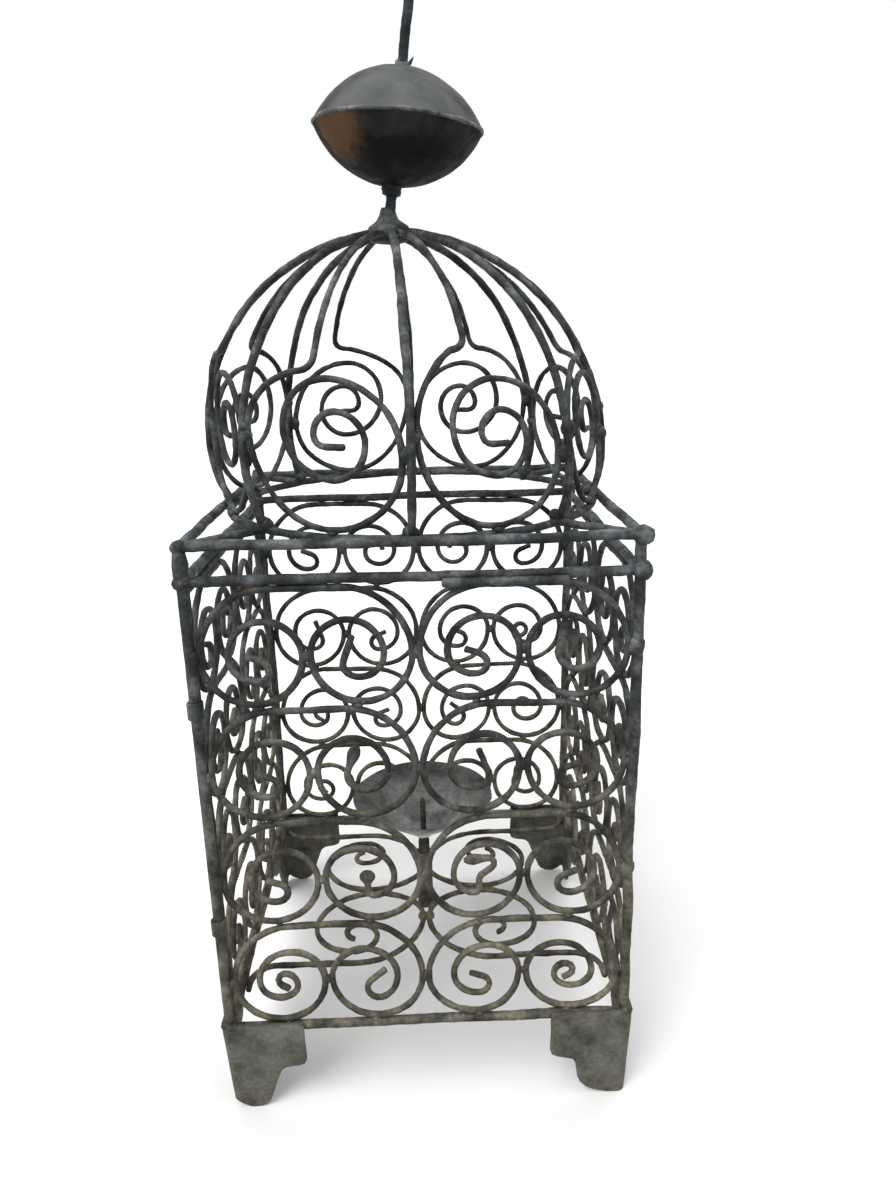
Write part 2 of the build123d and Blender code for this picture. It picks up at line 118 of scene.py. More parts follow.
def spot(plane, point):
    """A board's point in metres."""
    return (plane @ Vector((point[0], point[1], 0))) * MM


def heading_vector(plane, heading):
    angle = math.radians(heading)
    return plane.to_3x3() @ Vector((math.cos(angle), math.sin(angle), 0))


# Workbench
def pick(*pieces):
    """Selects these pieces alone and makes the first one active."""
    bpy.ops.object.select_all(action="DESELECT")
    for piece in pieces:
        piece.select_set(True)
    if pieces:
        bpy.context.view_layer.objects.active = pieces[0]


def settle():
    """Puts the active piece's place, turn and scale into its mesh."""
    bpy.ops.object.transform_apply(location=True, rotation=True, scale=True)


def edit(action="SELECT", kind="EDGE"):
    """Opens the active piece for editing, with everything or nothing selected."""
    bpy.ops.object.mode_set(mode="EDIT")
    bpy.ops.mesh.select_mode(type=kind)
    bpy.ops.mesh.select_all(action=action)


def extrude(shift):
    """Draws the selection out by a shift in metres."""
    bpy.ops.mesh.extrude_region_move(TRANSFORM_OT_translate={"value": shift})


def close_mesh():
    """Welds doubled vertices, turns the faces outwards and leaves edit mode."""
    bpy.ops.mesh.select_all(action="SELECT")
    bpy.ops.mesh.remove_doubles(threshold=MERGE_GAP * MM)
    bpy.ops.mesh.normals_make_consistent(inside=False)
    bpy.ops.object.mode_set(mode="OBJECT")


def apply_modifier(piece, kind, **settings):
    """Adds a modifier and makes it permanent."""
    pick(piece)
    modifier = piece.modifiers.new(kind.lower(), kind)
    for setting, value in settings.items():
        setattr(modifier, setting, value)
    bpy.ops.object.modifier_apply(modifier=modifier.name)


def join(name, pieces):
    """Several pieces as one object."""
    pick(*pieces)
    if len(pieces) > 1:
        bpy.ops.object.join()
    pieces[0].name = name
    return pieces[0]


def copy_to(piece, plane, point=(0, 0), name="copy"):
    """A copy of a flat piece, with its own mesh, set on a board."""
    copy = piece.copy()
    copy.data = piece.data.copy()
    copy.name = name
    bpy.context.scene.collection.objects.link(copy)
    place = plane.copy()
    place.translation = spot(plane, point)
    copy.matrix_world = place
    pick(copy)
    settle()
    return copy


# Bending rods: a ring of vertices is spun round each bend and drawn out along each straight
CUT_TIP = ((0.5, 0.86, 0.86), (0.25, 0.6, 0.6))
BUTT_TIP = ((0.2, 0.97, 0.97),)
POINT_TIP = ((3, 0.85, 0.85), (3.5, 0.65, 0.65), (2.5, 0.4, 0.4))
THORN_TIP = ((1, 0.8, 0.8), (1.2, 0.6, 0.6), (1, 0.3, 0.3))
LEAF_TIP = ((2.5, 1.25, 0.85), (3, 1.35, 0.8), (3, 1.15, 0.85), (3, 0.8, 0.9), (2.5, 0.45, 0.8))
COIN_TIP = (
    (1.5, 1.5, 0.9),
    (1.6, 1.4, 0.85),
    (2, 1.15, 0.9),
    (2, 0.9, 0.9),
    (1.6, 0.65, 0.85),
    (0.8, 0.4, 0.7),
)


def advance(point, heading, step):
    """Where a step leads: a straight length, or a radius and a turn, left positive."""
    angle = math.radians(heading)
    if not isinstance(step, tuple):
        return point + Vector((math.cos(angle), math.sin(angle))) * step, heading, None
    radius, turn = step
    side = math.copysign(1, turn)
    centre = point + Vector((-math.sin(angle), math.cos(angle))) * side * radius
    arm = point - centre
    arm.rotate(Matrix.Rotation(math.radians(turn), 2))
    return centre + arm, heading + turn, centre


def draw_along(plane, point, heading, steps):
    """Draws the selected ring along the steps and says where it ends."""
    normal = plane.col[2].to_3d()
    for step in steps:
        end, new_heading, centre = advance(point, heading, step)
        if centre is None:
            count = max(1, round(step / RING_SPACING))
            shift = heading_vector(plane, heading) * (step / count) * MM
            for _ in range(count):
                extrude(shift)
        else:
            radius, turn = step
            length = radius * abs(math.radians(turn))
            bpy.ops.mesh.spin(
                steps=max(LEAST_BEND_STEPS, round(length / RING_SPACING)),
                angle=-math.radians(turn),
                center=spot(plane, centre),
                axis=normal,
            )
        point, heading = end, new_heading
    return point, heading


def draw_tip(plane, point, heading, tip):
    """Ends a rod: each stage moves on, then widens it in the board's plane and across it."""
    normal = plane.col[2].to_3d()
    forward = heading_vector(plane, heading)
    for length, wide, thick in tip:
        point, _, _ = advance(point, heading, length)
        extrude(forward * length * MM)
        value = [wide + (thick - wide) * abs(component) for component in normal]
        bpy.ops.transform.resize(value=value, center_override=spot(plane, point))
    bpy.ops.mesh.edge_face_add()


def start_ring(name, plane, point, heading, radius):
    """A ring of vertices across a rod's start, left in edit mode and selected."""
    pick()
    turned = heading_vector(plane, heading).to_track_quat("Z", "Y").to_euler()
    bpy.ops.mesh.primitive_circle_add(
        vertices=ROD_SIDES, radius=radius * MM, location=spot(plane, point), rotation=turned
    )
    rod = bpy.context.object
    rod.name = name
    settle()
    edit()
    return rod


def select_first_ring():
    """Picks the ring that a rod was started from."""
    bpy.ops.mesh.select_all(action="DESELECT")
    bpy.ops.object.mode_set(mode="OBJECT")
    mesh = bpy.context.object.data
    for vertex in mesh.vertices[:ROD_SIDES]:
        vertex.select = True
    for edge in mesh.edges:
        edge.select = all(index < ROD_SIDES for index in edge.vertices)
    bpy.ops.object.mode_set(mode="EDIT")


def bent_rod(name, legs, radius, tip=CUT_TIP, back_leg=None, back_tip=CUT_TIP):
    """A forged rod along its legs, each a board, a point, a heading and steps, and along a leg back."""
    plane, point, heading, _ = legs[0]
    back_leg = back_leg or (plane, point, heading + 180, [])
    rod = start_ring(name, plane, point, heading, radius)
    for plane, point, heading, steps in legs:
        end, end_heading = draw_along(plane, Vector(point), heading, steps)
    draw_tip(plane, end, end_heading, tip)
    select_first_ring()
    plane, point, heading, steps = back_leg
    end, end_heading = draw_along(plane, Vector(point), heading, steps)
    draw_tip(plane, end, end_heading, back_tip)
    close_mesh()
    return rod


def straight_rod(name, start, end, radius, tip=CUT_TIP):
    """A straight rod between two points."""
    start = Vector(start)
    run = Vector(end) - start
    side = UPRIGHT if abs(run.normalized().z) < STEEP else (1, 0, 0)
    return bent_rod(name, [(board(start, run, side), (0, 0), 0, [run.length])], radius, tip)


def flat_rod(length, radius):
    """A straight rod along the flat board, for copying."""
    return bent_rod("flat_rod", [(FLAT, (0, 0), 0, [length])], radius)


def closed_ring(name, plane, radius, wire, turn):
    """A rod bent into a ring whose ends all but meet."""
    leg = (plane, (radius, 0), 90, [(radius, turn)])
    return bent_rod(name, [leg], wire, BUTT_TIP, back_tip=BUTT_TIP)


# Turned pieces: an outline spun round an axis
def trace(name, points):
    """A line of edges drawn from point to point, left in edit mode."""
    pick()
    bpy.ops.mesh.primitive_plane_add(size=MM, location=points[0])
    line = bpy.context.object
    line.name = name
    settle()
    edit(kind="VERT")
    bpy.ops.mesh.merge(type="CENTER")
    for previous, point in zip(points, points[1:]):
        extrude(point - previous)
    return line


def lathe(name, plane, outline, segments=96):
    """Spins an outline of radius and height pairs round the board's upright axis."""
    turned = trace(name, [spot(plane, point) for point in outline])
    bpy.ops.mesh.select_all(action="SELECT")
    bpy.ops.mesh.spin(
        steps=segments, angle=2 * math.pi, center=plane.translation * MM, axis=plane.col[1].to_3d()
    )
    close_mesh()
    return turned


# Hammering: the same slow waviness bends every piece alike, so that what touches stays together
def noise_texture(name, size, coloured=False, depth=1):
    texture = bpy.data.textures.new(name, "CLOUDS")
    texture.noise_scale = size * MM
    texture.noise_depth = depth
    texture.cloud_type = "COLOR" if coloured else "GRAYSCALE"
    return texture


WAVINESS = noise_texture("rod waviness", 70, coloured=True)
DENTS = noise_texture("hammer dents", 9, depth=2)
SCALE_PITS = noise_texture("scale and pits", 3.2, depth=2)
WAVE = 2.4


def displace(piece, texture, strength, direction="NORMAL"):
    """Moves a piece's surface by a texture, in millimetres. A strength of nothing is left out."""
    if strength:
        apply_modifier(
            piece,
            "DISPLACE",
            texture=texture,
            texture_coords="LOCAL",
            direction=direction,
            strength=strength * MM,
            mid_level=0.5,
        )


def hammer(piece, pits=0.5, dents=0.9, wave=WAVE):
    """The uneven surface of hand-worked iron."""
    displace(piece, SCALE_PITS, pits)
    displace(piece, DENTS, dents)
    displace(piece, WAVINESS, wave, "RGB_TO_XYZ")


def complete(piece, body, material, slot, *nodes):
    """Gives a piece its finish and its place in the frame."""
    pick(piece)
    bpy.ops.object.shade_smooth_by_angle(angle=SMOOTH_ANGLE)
    piece.data.materials.clear()
    piece.data.materials.append(material)
    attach(piece, body)
    if nodes:
        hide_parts(*nodes)


# Weld beads: lumps of uneven size, gathered while the pieces are made and built last
def uneven(low, high):
    return random.uniform(low, high)


class Beads:
    """The weld lumps of one group of joints, built as one rough mesh."""

    def __init__(self):
        self.lumps = []

    def add(self, point, size, stretch=(1, 1, 1)):
        self.lumps.append((Vector(point), size, stretch))

    def weld(self, point, kind):
        """Adds a lump of a kind, which is the least and the greatest size, and the stretch."""
        (low, high), stretch = kind
        self.add(point, uneven(low, high), stretch)

    def build(self, name, body):
        pick()
        for index, (point, size, stretch) in enumerate(self.lumps):
            if index:
                bpy.ops.mesh.select_all(action="DESELECT")
            bpy.ops.mesh.primitive_ico_sphere_add(subdivisions=2, radius=size * MM, location=point * MM)
            if not index:
                whole = bpy.context.object
                settle()
                bpy.ops.object.mode_set(mode="EDIT")
            bpy.ops.transform.resize(value=stretch, center_override=point * MM)
        bpy.ops.object.mode_set(mode="OBJECT")
        whole.name = name
        hammer(whole, pits=0.9, dents=2.2)
        complete(whole, body, bead_iron, "forged_iron")


cage_beads = Beads()
door_beads = Beads()
dome_beads = Beads()


# Finishes
class NodeSheet:
    """Shader nodes, linked as they are made."""

    def __init__(self, owner):
        owner.use_nodes = True
        self.tree = owner.node_tree

    def node(self, kind, inputs, **settings):
        """A node with its settings and its inputs, which are other nodes' outputs or plain values."""
        node = self.tree.nodes.new(kind)
        for setting, value in settings.items():
            setattr(node, setting, value)
        for key, value in inputs.items():
            self.plug(value, node.inputs[key])
        return node

    def plug(self, value, socket):
        if isinstance(value, bpy.types.NodeSocket):
            self.tree.links.new(value, socket)
        else:
            socket.default_value = (*value, 1) if socket.type == "RGBA" else value

    def math(self, operation, *values):
        return self.node("ShaderNodeMath", dict(enumerate(values)), operation=operation).outputs[0]


class Finish(NodeSheet):
    """A material in the making, with patterns on Object coordinates."""

    def __init__(self, name):
        self.material = bpy.data.materials.new(name)
        super().__init__(self.material)
        self.shader = self.tree.nodes["Principled BSDF"]
        self.coords = self.node("ShaderNodeTexCoord", {}).outputs["Object"]

    def surface(self, key, value):
        self.plug(value, self.shader.inputs[key])

    def noise(self, scale, detail=4, roughness=0.6, distortion=0.0):
        inputs = {"Vector": self.coords, "Scale": scale, "Detail": detail}
        inputs.update({"Roughness": roughness, "Distortion": distortion})
        return self.node("ShaderNodeTexNoise", inputs).outputs["Fac"]

    def ramp(self, value, stops):
        """A colour ramp from a list of places and colours."""
        node = self.node("ShaderNodeValToRGB", {"Fac": value})
        elements = node.color_ramp.elements
        while len(elements) < len(stops):
            elements.new(0.5)
        for element, (place, colour) in zip(elements, stops):
            element.position = place
            element.color = (*colour, 1)
        return node.outputs["Color"]

    def remap(self, value, low, high, to_low, to_high):
        """A value's smooth passage from low to high, brought to another range."""
        inputs = {"Value": value, "From Min": low, "From Max": high, "To Min": to_low, "To Max": to_high}
        return self.node("ShaderNodeMapRange", inputs, interpolation_type="SMOOTHSTEP").outputs["Result"]

    def mix(self, share, first, second):
        """Two colours mixed by a share. The node has its colours on inputs 6 and 7 and on output 2."""
        return self.node("ShaderNodeMix", {0: share, 6: first, 7: second}, data_type="RGBA").outputs[2]

    def scaled(self, colour, factor):
        """A colour made lighter or darker by a factor."""
        node = self.node("ShaderNodeVectorMath", {0: colour, "Scale": factor}, operation="SCALE")
        return node.outputs["Vector"]

    def upward(self, vector):
        """The height part of a place or a direction."""
        return self.node("ShaderNodeSeparateXYZ", {0: vector}).outputs["Z"]

    def bump(self, height, strength, distance, **below):
        inputs = {"Height": height, "Strength": strength, "Distance": distance, **below}
        return self.node("ShaderNodeBump", inputs).outputs["Normal"]


# Painted light and shade: a colour's factor where the surface faces straight down and where it faces
# straight up
WIRE_PAINTED_LIGHT_AND_SHADE = (0.5, 1.5)
SHEET_PAINTED_LIGHT_AND_SHADE = (1.2, 0.9)
DISH_PAINTED_LIGHT_AND_SHADE = (1.9, 0.75)
DUST = (0.105, 0.095, 0.066)
# Painted light: the pale low colour of the dish, for the light that the floor throws up under it
DISH_UNDERSIDE_PAINTED_LIGHT = (0.36, 0.37, 0.36)
DUST_AND_PAINTED_LIGHT_SHARES = (0.4, 0.85, 1.4)
RUST = (0.07, 0.038, 0.02)
BALL_RUST = (0.085, 0.047, 0.025)
FLECK = (0.3, 0.31, 0.3)


def skin_colour(iron, tones, patch, mottling, painted_light_and_shade):
    """Smoky patches of three tones with a fine mottle, with painted light and shade: lighter or darker by
    the way the surface faces.
    """
    skin = iron.ramp(iron.noise(patch, 5, 0.62), list(zip((0.36, 0.5, 0.66), tones)))
    mottle = iron.remap(iron.noise(420), 0.3, 0.7, 1 - mottling, 1 + mottling)
    normal = iron.node("ShaderNodeNewGeometry", {}).outputs["Normal"]
    return iron.scaled(iron.scaled(skin, mottle), iron.remap(iron.upward(normal), -1, 1, *painted_light_and_shade))


def add_grain(iron, grain):
    """Scale, pits and hammer marks as two layers of bumps."""
    coarse = iron.bump(iron.noise(190, 5, 0.65), 0.6 * grain, 0.0011)
    iron.surface("Normal", iron.bump(iron.noise(780, 5, 0.65), 0.5 * grain, 0.0004, Normal=coarse))


def old_iron(
    name, tones, low, high, low_colour=DUST, rust=0.5, patch=60, mottling=0.3, painted_light_and_shade=WIRE_PAINTED_LIGHT_AND_SHADE
):
    """Weathered iron that takes a low colour from a high to a low level, with rust and pale flecks: dust
    on most pieces, painted underside light on the dish.
    """
    iron = Finish(name)
    skin = skin_colour(iron, tones, patch, mottling, painted_light_and_shade)
    # Below the high level the colour turns to the low colour: dust on most pieces, painted underside
    # light on the dish
    dust_and_painted_light_tones = [tuple(value * share for value in low_colour) for share in DUST_AND_PAINTED_LIGHT_SHARES]
    dust_and_painted_light = skin_colour(iron, dust_and_painted_light_tones, patch, mottling, painted_light_and_shade)
    low_part = iron.remap(iron.upward(iron.coords), high, low, 0.0, 0.9)
    drift = iron.remap(iron.noise(60), 0.3, 0.65, 0.4, 1.0)
    dusty_and_painted_light = iron.mix(iron.math("MULTIPLY", low_part, drift), skin, dust_and_painted_light)
    rusty = iron.mix(iron.remap(iron.noise(85, 6, 0.7, 0.4), 0.58, 0.72, 0.0, rust), dusty_and_painted_light, RUST)
    flecked = iron.mix(iron.remap(iron.noise(800, 3, 0.7), 0.66, 0.77, 0.0, 0.6), rusty, FLECK)
    iron.surface("Base Color", flecked)
    iron.surface("Roughness", iron.remap(iron.noise(150), 0.3, 0.7, 0.5, 0.8))
    iron.surface("Specular IOR Level", 0.16)
    add_grain(iron, mottling * 3)
    return iron.material


def finial_iron(name, tones, rust, rust_size, rust_centre):
    """The ball's sheet: smoky patches, fine pits and one rusty brown place beside the seam."""
    ragged_edge = 0.024
    solid_edge = 0.01
    iron = Finish(name)
    skin = iron.ramp(iron.noise(38, 5, 0.6, 0.3), list(zip((0.32, 0.5, 0.7), tones)))
    offset = iron.node("ShaderNodeVectorMath", {0: iron.coords, 1: rust_centre}, operation="DISTANCE")
    ragged = iron.math("MULTIPLY_ADD", iron.noise(120, 5, 0.7), ragged_edge, offset.outputs["Value"])
    patch = iron.remap(ragged, rust_size + ragged_edge, rust_size + solid_edge, 0.0, rust)
    iron.surface("Base Color", iron.mix(patch, skin, BALL_RUST))
    iron.surface("Roughness", iron.remap(iron.noise(130), 0.3, 0.7, 0.55, 0.8))
    iron.surface("Specular IOR Level", 0.05)
    iron.surface("Normal", iron.bump(iron.noise(260, 6, 0.65), 0.5, 0.0006))
    return iron.material


frame_iron = old_iron(
    "frame iron", ((0.012, 0.0135, 0.0145), (0.036, 0.041, 0.043), (0.1, 0.11, 0.114)), 0.1, 0.3
)
scroll_iron = old_iron(
    "scroll iron", ((0.01, 0.0105, 0.01), (0.032, 0.034, 0.032), (0.085, 0.088, 0.083)), 0.09, 0.28,
    rust=0.6,
)
dome_iron = old_iron(
    "dome iron", ((0.011, 0.0115, 0.012), (0.034, 0.037, 0.0375), (0.1, 0.106, 0.107)), 0.1, 0.25
)
rod_iron = old_iron(
    "hanging rod iron", ((0.009, 0.012, 0.014), (0.021, 0.028, 0.033), (0.05, 0.059, 0.066)), 0.1, 0.2
)
foot_iron = old_iron(
    "foot plate", ((0.036, 0.036, 0.03), (0.085, 0.084, 0.07), (0.125, 0.124, 0.106)), 0.0, 0.02,
    patch=40, mottling=0.2, painted_light_and_shade=SHEET_PAINTED_LIGHT_AND_SHADE,
)
# The dish's pale low part and its lighter underside are painted light from the floor
dish_iron = old_iron(
    "dish sheet", ((0.045, 0.048, 0.045), (0.105, 0.112, 0.107), (0.17, 0.178, 0.17)), 0.124, 0.146,
    low_colour=DISH_UNDERSIDE_PAINTED_LIGHT, patch=40, mottling=0.2, painted_light_and_shade=DISH_PAINTED_LIGHT_AND_SHADE,
)
bead_iron = old_iron(
    "weld beads", ((0.01, 0.011, 0.011), (0.036, 0.04, 0.04), (0.12, 0.127, 0.128)), 0.09, 0.28,
    rust=0.7,
)
seam_iron = old_iron(
    "seam weld", ((0.03, 0.032, 0.032), (0.09, 0.094, 0.093), (0.18, 0.187, 0.186)), 0.0, 0.02
)

# Scrolls: the flat top, a shoulder each side, the outer turn and the inner turns, with a forged tail
TAILS = {
    "hook": ([(14, 100), (6, 150), 8], CUT_TIP),
    "curl": ([(12, 130), (9, 110), (6, 120)], CUT_TIP),
    "ring": ([(12, 130), (8, 90), (5, 200)], POINT_TIP),
    "crook": ([(16, 60), (7, 170), 11], CUT_TIP),
    "leaf": ([(12, 130), (9, 70), 2], LEAF_TIP),
    "loop": ([(12, 130), (8, 120), (4.6, 170), 4], CUT_TIP),
    "straight": ([(13, 110), (7, 90), 14], CUT_TIP),
    "coin": ([(12, 90), (3.5, 90), 4], COIN_TIP),
    "leaf loop": ([(12, 90), (3, 90), 5, (5, -55), 7, (3.4, 150), 0.5], LEAF_TIP),
}
# Each column's tails, row by row from the top, left and right
FRONT_TAILS = {
    "left": (("hook", "straight"), ("hook", "leaf"), ("hook", "coin"), ("loop", "crook")),
    "right": (("hook", "leaf"), ("straight", "hook"), ("leaf loop", "hook"), ("hook", "loop")),
}
OTHER_TAILS = {
    "left": (("hook", "curl"), ("ring", "hook"), ("curl", "crook"), ("leaf", "hook")),
    "right": (("curl", "hook"), ("hook", "straight"), ("hook", "ring"), ("crook", "loop")),
}
PANEL_ROWS = 4
SECOND_TURN = 19.5
DRAWN_OUTER = 27
MIDDLE_GAP = 0.5
POST_WELD = 3.9
POST_WELD_SHIFT = (1.6, 0.6)
SIDE_WELD = ((2.2, 2.6), (0.9, 0.9, 1.6))
TURN_WELD = ((2.1, 2.5), (1.1, 1.1, 0.9))
TURN_WELD_INSET = 3
MIDDLE_WELD = ((2.2, 2.9), (0.9, 0.9, 1.3))
flat_scrolls = {}


def outer_radius(width):
    """Radius of a scroll's outer half turn."""
    return (width / 2 - 2 * WIRE_RADIUS - MIDDLE_GAP / 2) / 2


def shoulder_radius(width, height):
    return height - 2 * WIRE_RADIUS - outer_radius(width)


def volute(width, height, tail):
    """Steps of half a scroll, from the middle of its flat top."""
    outer = outer_radius(width)
    shoulder = shoulder_radius(width, height)
    flat = width / 2 - WIRE_RADIUS - shoulder
    return [flat, (shoulder, 90), (outer, 180), (SECOND_TURN * outer / DRAWN_OUTER, 180)] + tail


def mirrored(steps):
    return [(step[0], -step[1]) if isinstance(step, tuple) else step for step in steps]


def flat_scroll(width, height, left, right):
    """One scroll of each kind and size, hanging from the flat board's origin, kept for copying."""
    key = (round(width, 1), round(height, 1), left, right)
    if key not in flat_scrolls:
        left_steps, left_tip = TAILS[left]
        right_steps, right_tip = TAILS[right]
        right_leg = (FLAT, (0, 0), 0, mirrored(volute(width, height, right_steps)))
        left_leg = (FLAT, (0, 0), 180, volute(width, height, left_steps))
        flat = bent_rod("flat_scroll", [right_leg], WIRE_RADIUS, right_tip, left_leg, left_tip)
        flat_scrolls[key] = flat
    return flat_scrolls[key]


def weld_scroll(plane, centre, top, width, height, on_post, beads):
    """The welds of one scroll: at its sides, under its turns and between its turns."""
    outer = outer_radius(width)
    side_height = top - shoulder_radius(width, height)
    for hand in (-1, 1):
        edge = centre + hand * width / 2
        if on_post and abs(edge) > HALF - 2 * POST_RADIUS:
            place = (edge + hand * POST_WELD_SHIFT[0], side_height, POST_WELD_SHIFT[1])
            beads.add(plane @ Vector(place), POST_WELD, (1, 1, uneven(1.3, 1.6)))
        else:
            beads.weld(plane @ Vector((edge, side_height + uneven(-1, 1), 0)), SIDE_WELD)
        turn = centre + hand * (width / 2 - WIRE_RADIUS - outer - TURN_WELD_INSET)
        beads.weld(plane @ Vector((turn, top - height + WIRE_RADIUS, 0)), TURN_WELD)
    beads.weld(plane @ Vector((centre, side_height, 0)), MIDDLE_WELD)


def column(node, plane, body, tails, beads):
    """Four scrolls under each other, in the place of a CAD column, with the welds between them."""
    low, high = box_mm(node)
    width = max(high.x - low.x, high.y - low.y)
    height = (high.z - low.z) / PANEL_ROWS
    centre = (plane.inverted() @ middle_mm(node)).x
    pieces = []
    for row, (left, right) in enumerate(tails):
        top = high.z - WIRE_RADIUS - row * height
        pieces.append(copy_to(flat_scroll(width, height, left, right), plane, (centre, top)))
        weld_scroll(plane, centre, top, width, height, body == "cage" and row % 2 == 0, beads)
    whole = join(f"iron_{node}", pieces)
    hammer(whole)
    complete(whole, body, scroll_iron, "forged_iron", node)


def make_panels():
    panel_boards = {
        "front": board((0, -HALF, 0), (1, 0, 0), UPRIGHT),
        "right": board((HALF, 0, 0), (0, 1, 0), UPRIGHT),
        "rear": board((0, HALF, 0), (-1, 0, 0), UPRIGHT),
    }
    for side, plane in panel_boards.items():
        tails = FRONT_TAILS if side == "front" else OTHER_TAILS
        for hand in ("left", "right"):
            column(f"scrolls_{side}_{hand}", plane, "cage", tails[hand], cage_beads)
    door_board = board((-HALF, 0, 0), (0, -1, 0), UPRIGHT)
    for place, hand in (("rear", "left"), ("front", "right")):
        column(f"door_scrolls_{place}", door_board, "door", OTHER_TAILS[hand], door_beads)
    for flat in flat_scrolls.values():
        bpy.data.objects.remove(flat)


# Posts and rails
POST_END = 1
KNOB_SIZES = {"front_left": 4, "front_right": 5.8, "rear_right": 5.2, "rear_left": 4.2}
KNOB_LIFT = 0.15
KNOB_SPREAD = (-2.4, 1.2)
FOOT_KNOB = 4.3
FOOT_KNOB_LIFT = 0.2
ELBOW_KNOB = 4.3
LEVELS = {"bottom_rail": BOTTOM_Z, "lower_top_rail": LOWER_Z, "upper_rail": UPPER_Z}
SIDES = {
    "front": ("front_left", "front_right"),
    "right": ("front_right", "rear_right"),
    "rear": ("rear_right", "rear_left"),
    "left": ("rear_left", "front_left"),
}
RAIL_INSET = POST_RADIUS * 0.8


def outward_from(x, y):
    """The way out of the cage at a corner."""
    return Vector((math.copysign(1, x), math.copysign(1, y), 0))


def make_posts():
    """The door turns on the front left post, so that one stays straight."""
    flat_post = flat_rod(POST_TOP - POST_END - POST_FOOT, POST_RADIUS)
    for name, (x, y) in CORNERS.items():
        plane = board((x, y, POST_FOOT), UPRIGHT, (1, 0, 0))
        post = copy_to(flat_post, plane, name=f"iron_post_{name}")
        if name == "front_left":
            hammer(post, pits=0, dents=0.4, wave=0)
        else:
            hammer(post)
        complete(post, "cage", frame_iron, "forged_iron", f"post_{name}")
    bpy.data.objects.remove(flat_post)


def weld_corner(corner, size, outward, lift):
    """A lump of weld on a corner, with two smaller ones beside it."""
    cage_beads.add(corner + outward * lift, size, (1, 1, 0.95))
    for _ in range(2):
        across = uneven(*KNOB_SPREAD) * outward.x
        shift = Vector((across, uneven(*KNOB_SPREAD) * outward.y, uneven(-1.5, 2.5)))
        cage_beads.add(corner + shift, size * uneven(0.6, 0.8), (1, 1, uneven(0.8, 1.3)))


def weld_corners():
    """The front left corner has a thick elbow between its two top rails as well."""
    for name, (x, y) in CORNERS.items():
        outward = outward_from(x, y)
        weld_corner(Vector((x, y, BOTTOM_Z)), FOOT_KNOB, outward, FOOT_KNOB_LIFT)
        for height in (LOWER_Z, UPPER_Z):
            knob = KNOB_SIZES[name]
            weld_corner(Vector((x, y, height)), knob, outward, KNOB_LIFT * knob)
    cage_beads.add((-HALF, -HALF, (LOWER_Z + UPPER_Z) / 2), ELBOW_KNOB, (1, 1, 3))


def make_rails():
    flat_rail = flat_rod(2 * (HALF - RAIL_INSET), RAIL_RADIUS)
    for level, height in LEVELS.items():
        for side, (first, second) in SIDES.items():
            start = Vector((*CORNERS[first], height))
            along = Vector((*CORNERS[second], height)) - start
            plane = board(start + along.normalized() * RAIL_INSET, along, UPRIGHT)
            rail = copy_to(flat_rail, plane, name=f"iron_{level}_{side}")
            hammer(rail)
            complete(rail, "cage", frame_iron, "forged_iron", f"{level}_{side}")
    bpy.data.objects.remove(flat_rail)


def make_splice():
    low, high = box_mm("rail_splice_bar")
    middle = (low + high) / 2
    ends = [(x, middle.y, middle.z) for x in (low.x, high.x)]
    splice = straight_rod("iron_splice_bar", *ends, (high.z - low.z) / 2)
    hammer(splice)
    complete(splice, "cage", frame_iron, "forged_iron", "rail_splice_bar")


# Floor scrolls: a lead from the side rail, a long straight and a loop that winds in
LOOP_REACH = 46.5
FLOOR_RISE = 6
FLOOR_LEAD = 16
FLOOR_FLAT = -66
FLOOR_MIRROR = 12.5
FLOOR_GAP = 0.1
FLOOR_RAIL = box_mm("floor_scrolls_front")[1].x - WIRE_RADIUS
FLOOR_START = (-FLOOR_RAIL, FLOOR_FLAT - FLOOR_LEAD - FLOOR_RISE)
FLOOR_STEPS = [
    FLOOR_RISE,
    (FLOOR_LEAD, -90),
    FLOOR_RAIL - FLOOR_LEAD - LOOP_REACH - WIRE_RADIUS - FLOOR_GAP,
    (LOOP_REACH, 90),
    (24, 45),
    (43, 45),
    (37.5, 90),
    (27, 90),
    (16, 90),
    (13, 90),
    (8, 160),
]
FLOOR_WELD = ((2.8, 3.6), (1.1, 1.3, 0.9))
FLOOR_WELD_POINTS = (
    (-FLOOR_RAIL - 1, FLOOR_START[1] + 8),
    (-2, FLOOR_FLAT + LOOP_REACH),
    (-42, FLOOR_MIRROR),
)


def make_floor_scrolls():
    for place, middle, up in (("front", 0, 1), ("rear", 2 * FLOOR_MIRROR, -1)):
        pieces = []
        for hand in (1, -1):
            plane = board((0, middle, BOTTOM_Z), (hand, 0, 0), (0, up, 0))
            pieces.append(bent_rod("floor_scroll", [(plane, FLOOR_START, 90, FLOOR_STEPS)], WIRE_RADIUS))
            for point in FLOOR_WELD_POINTS:
                cage_beads.weld(plane @ Vector((*point, 0)), FLOOR_WELD)
        whole = join(f"iron_floor_scrolls_{place}", pieces)
        hammer(whole)
        complete(whole, "cage", scroll_iron, "forged_iron", f"floor_scrolls_{place}")


# Dome: ribs and spokes follow the same leaning curves as the solids
DOME_BULGE = 3
HUB_OVERLAP = 3
RIB_NAMES = ["right", "rear_right", "rear", "rear_left", "left", "front_left", "front", "front_right"]
RIB_STEP = 45
RIB_END_GAP = 1
RIB_WELD = ((3.4, 4.4), (1.1, 1.1, 1))
RING_TURN = 359.5
BRACE_REACH = HALF * 1.37


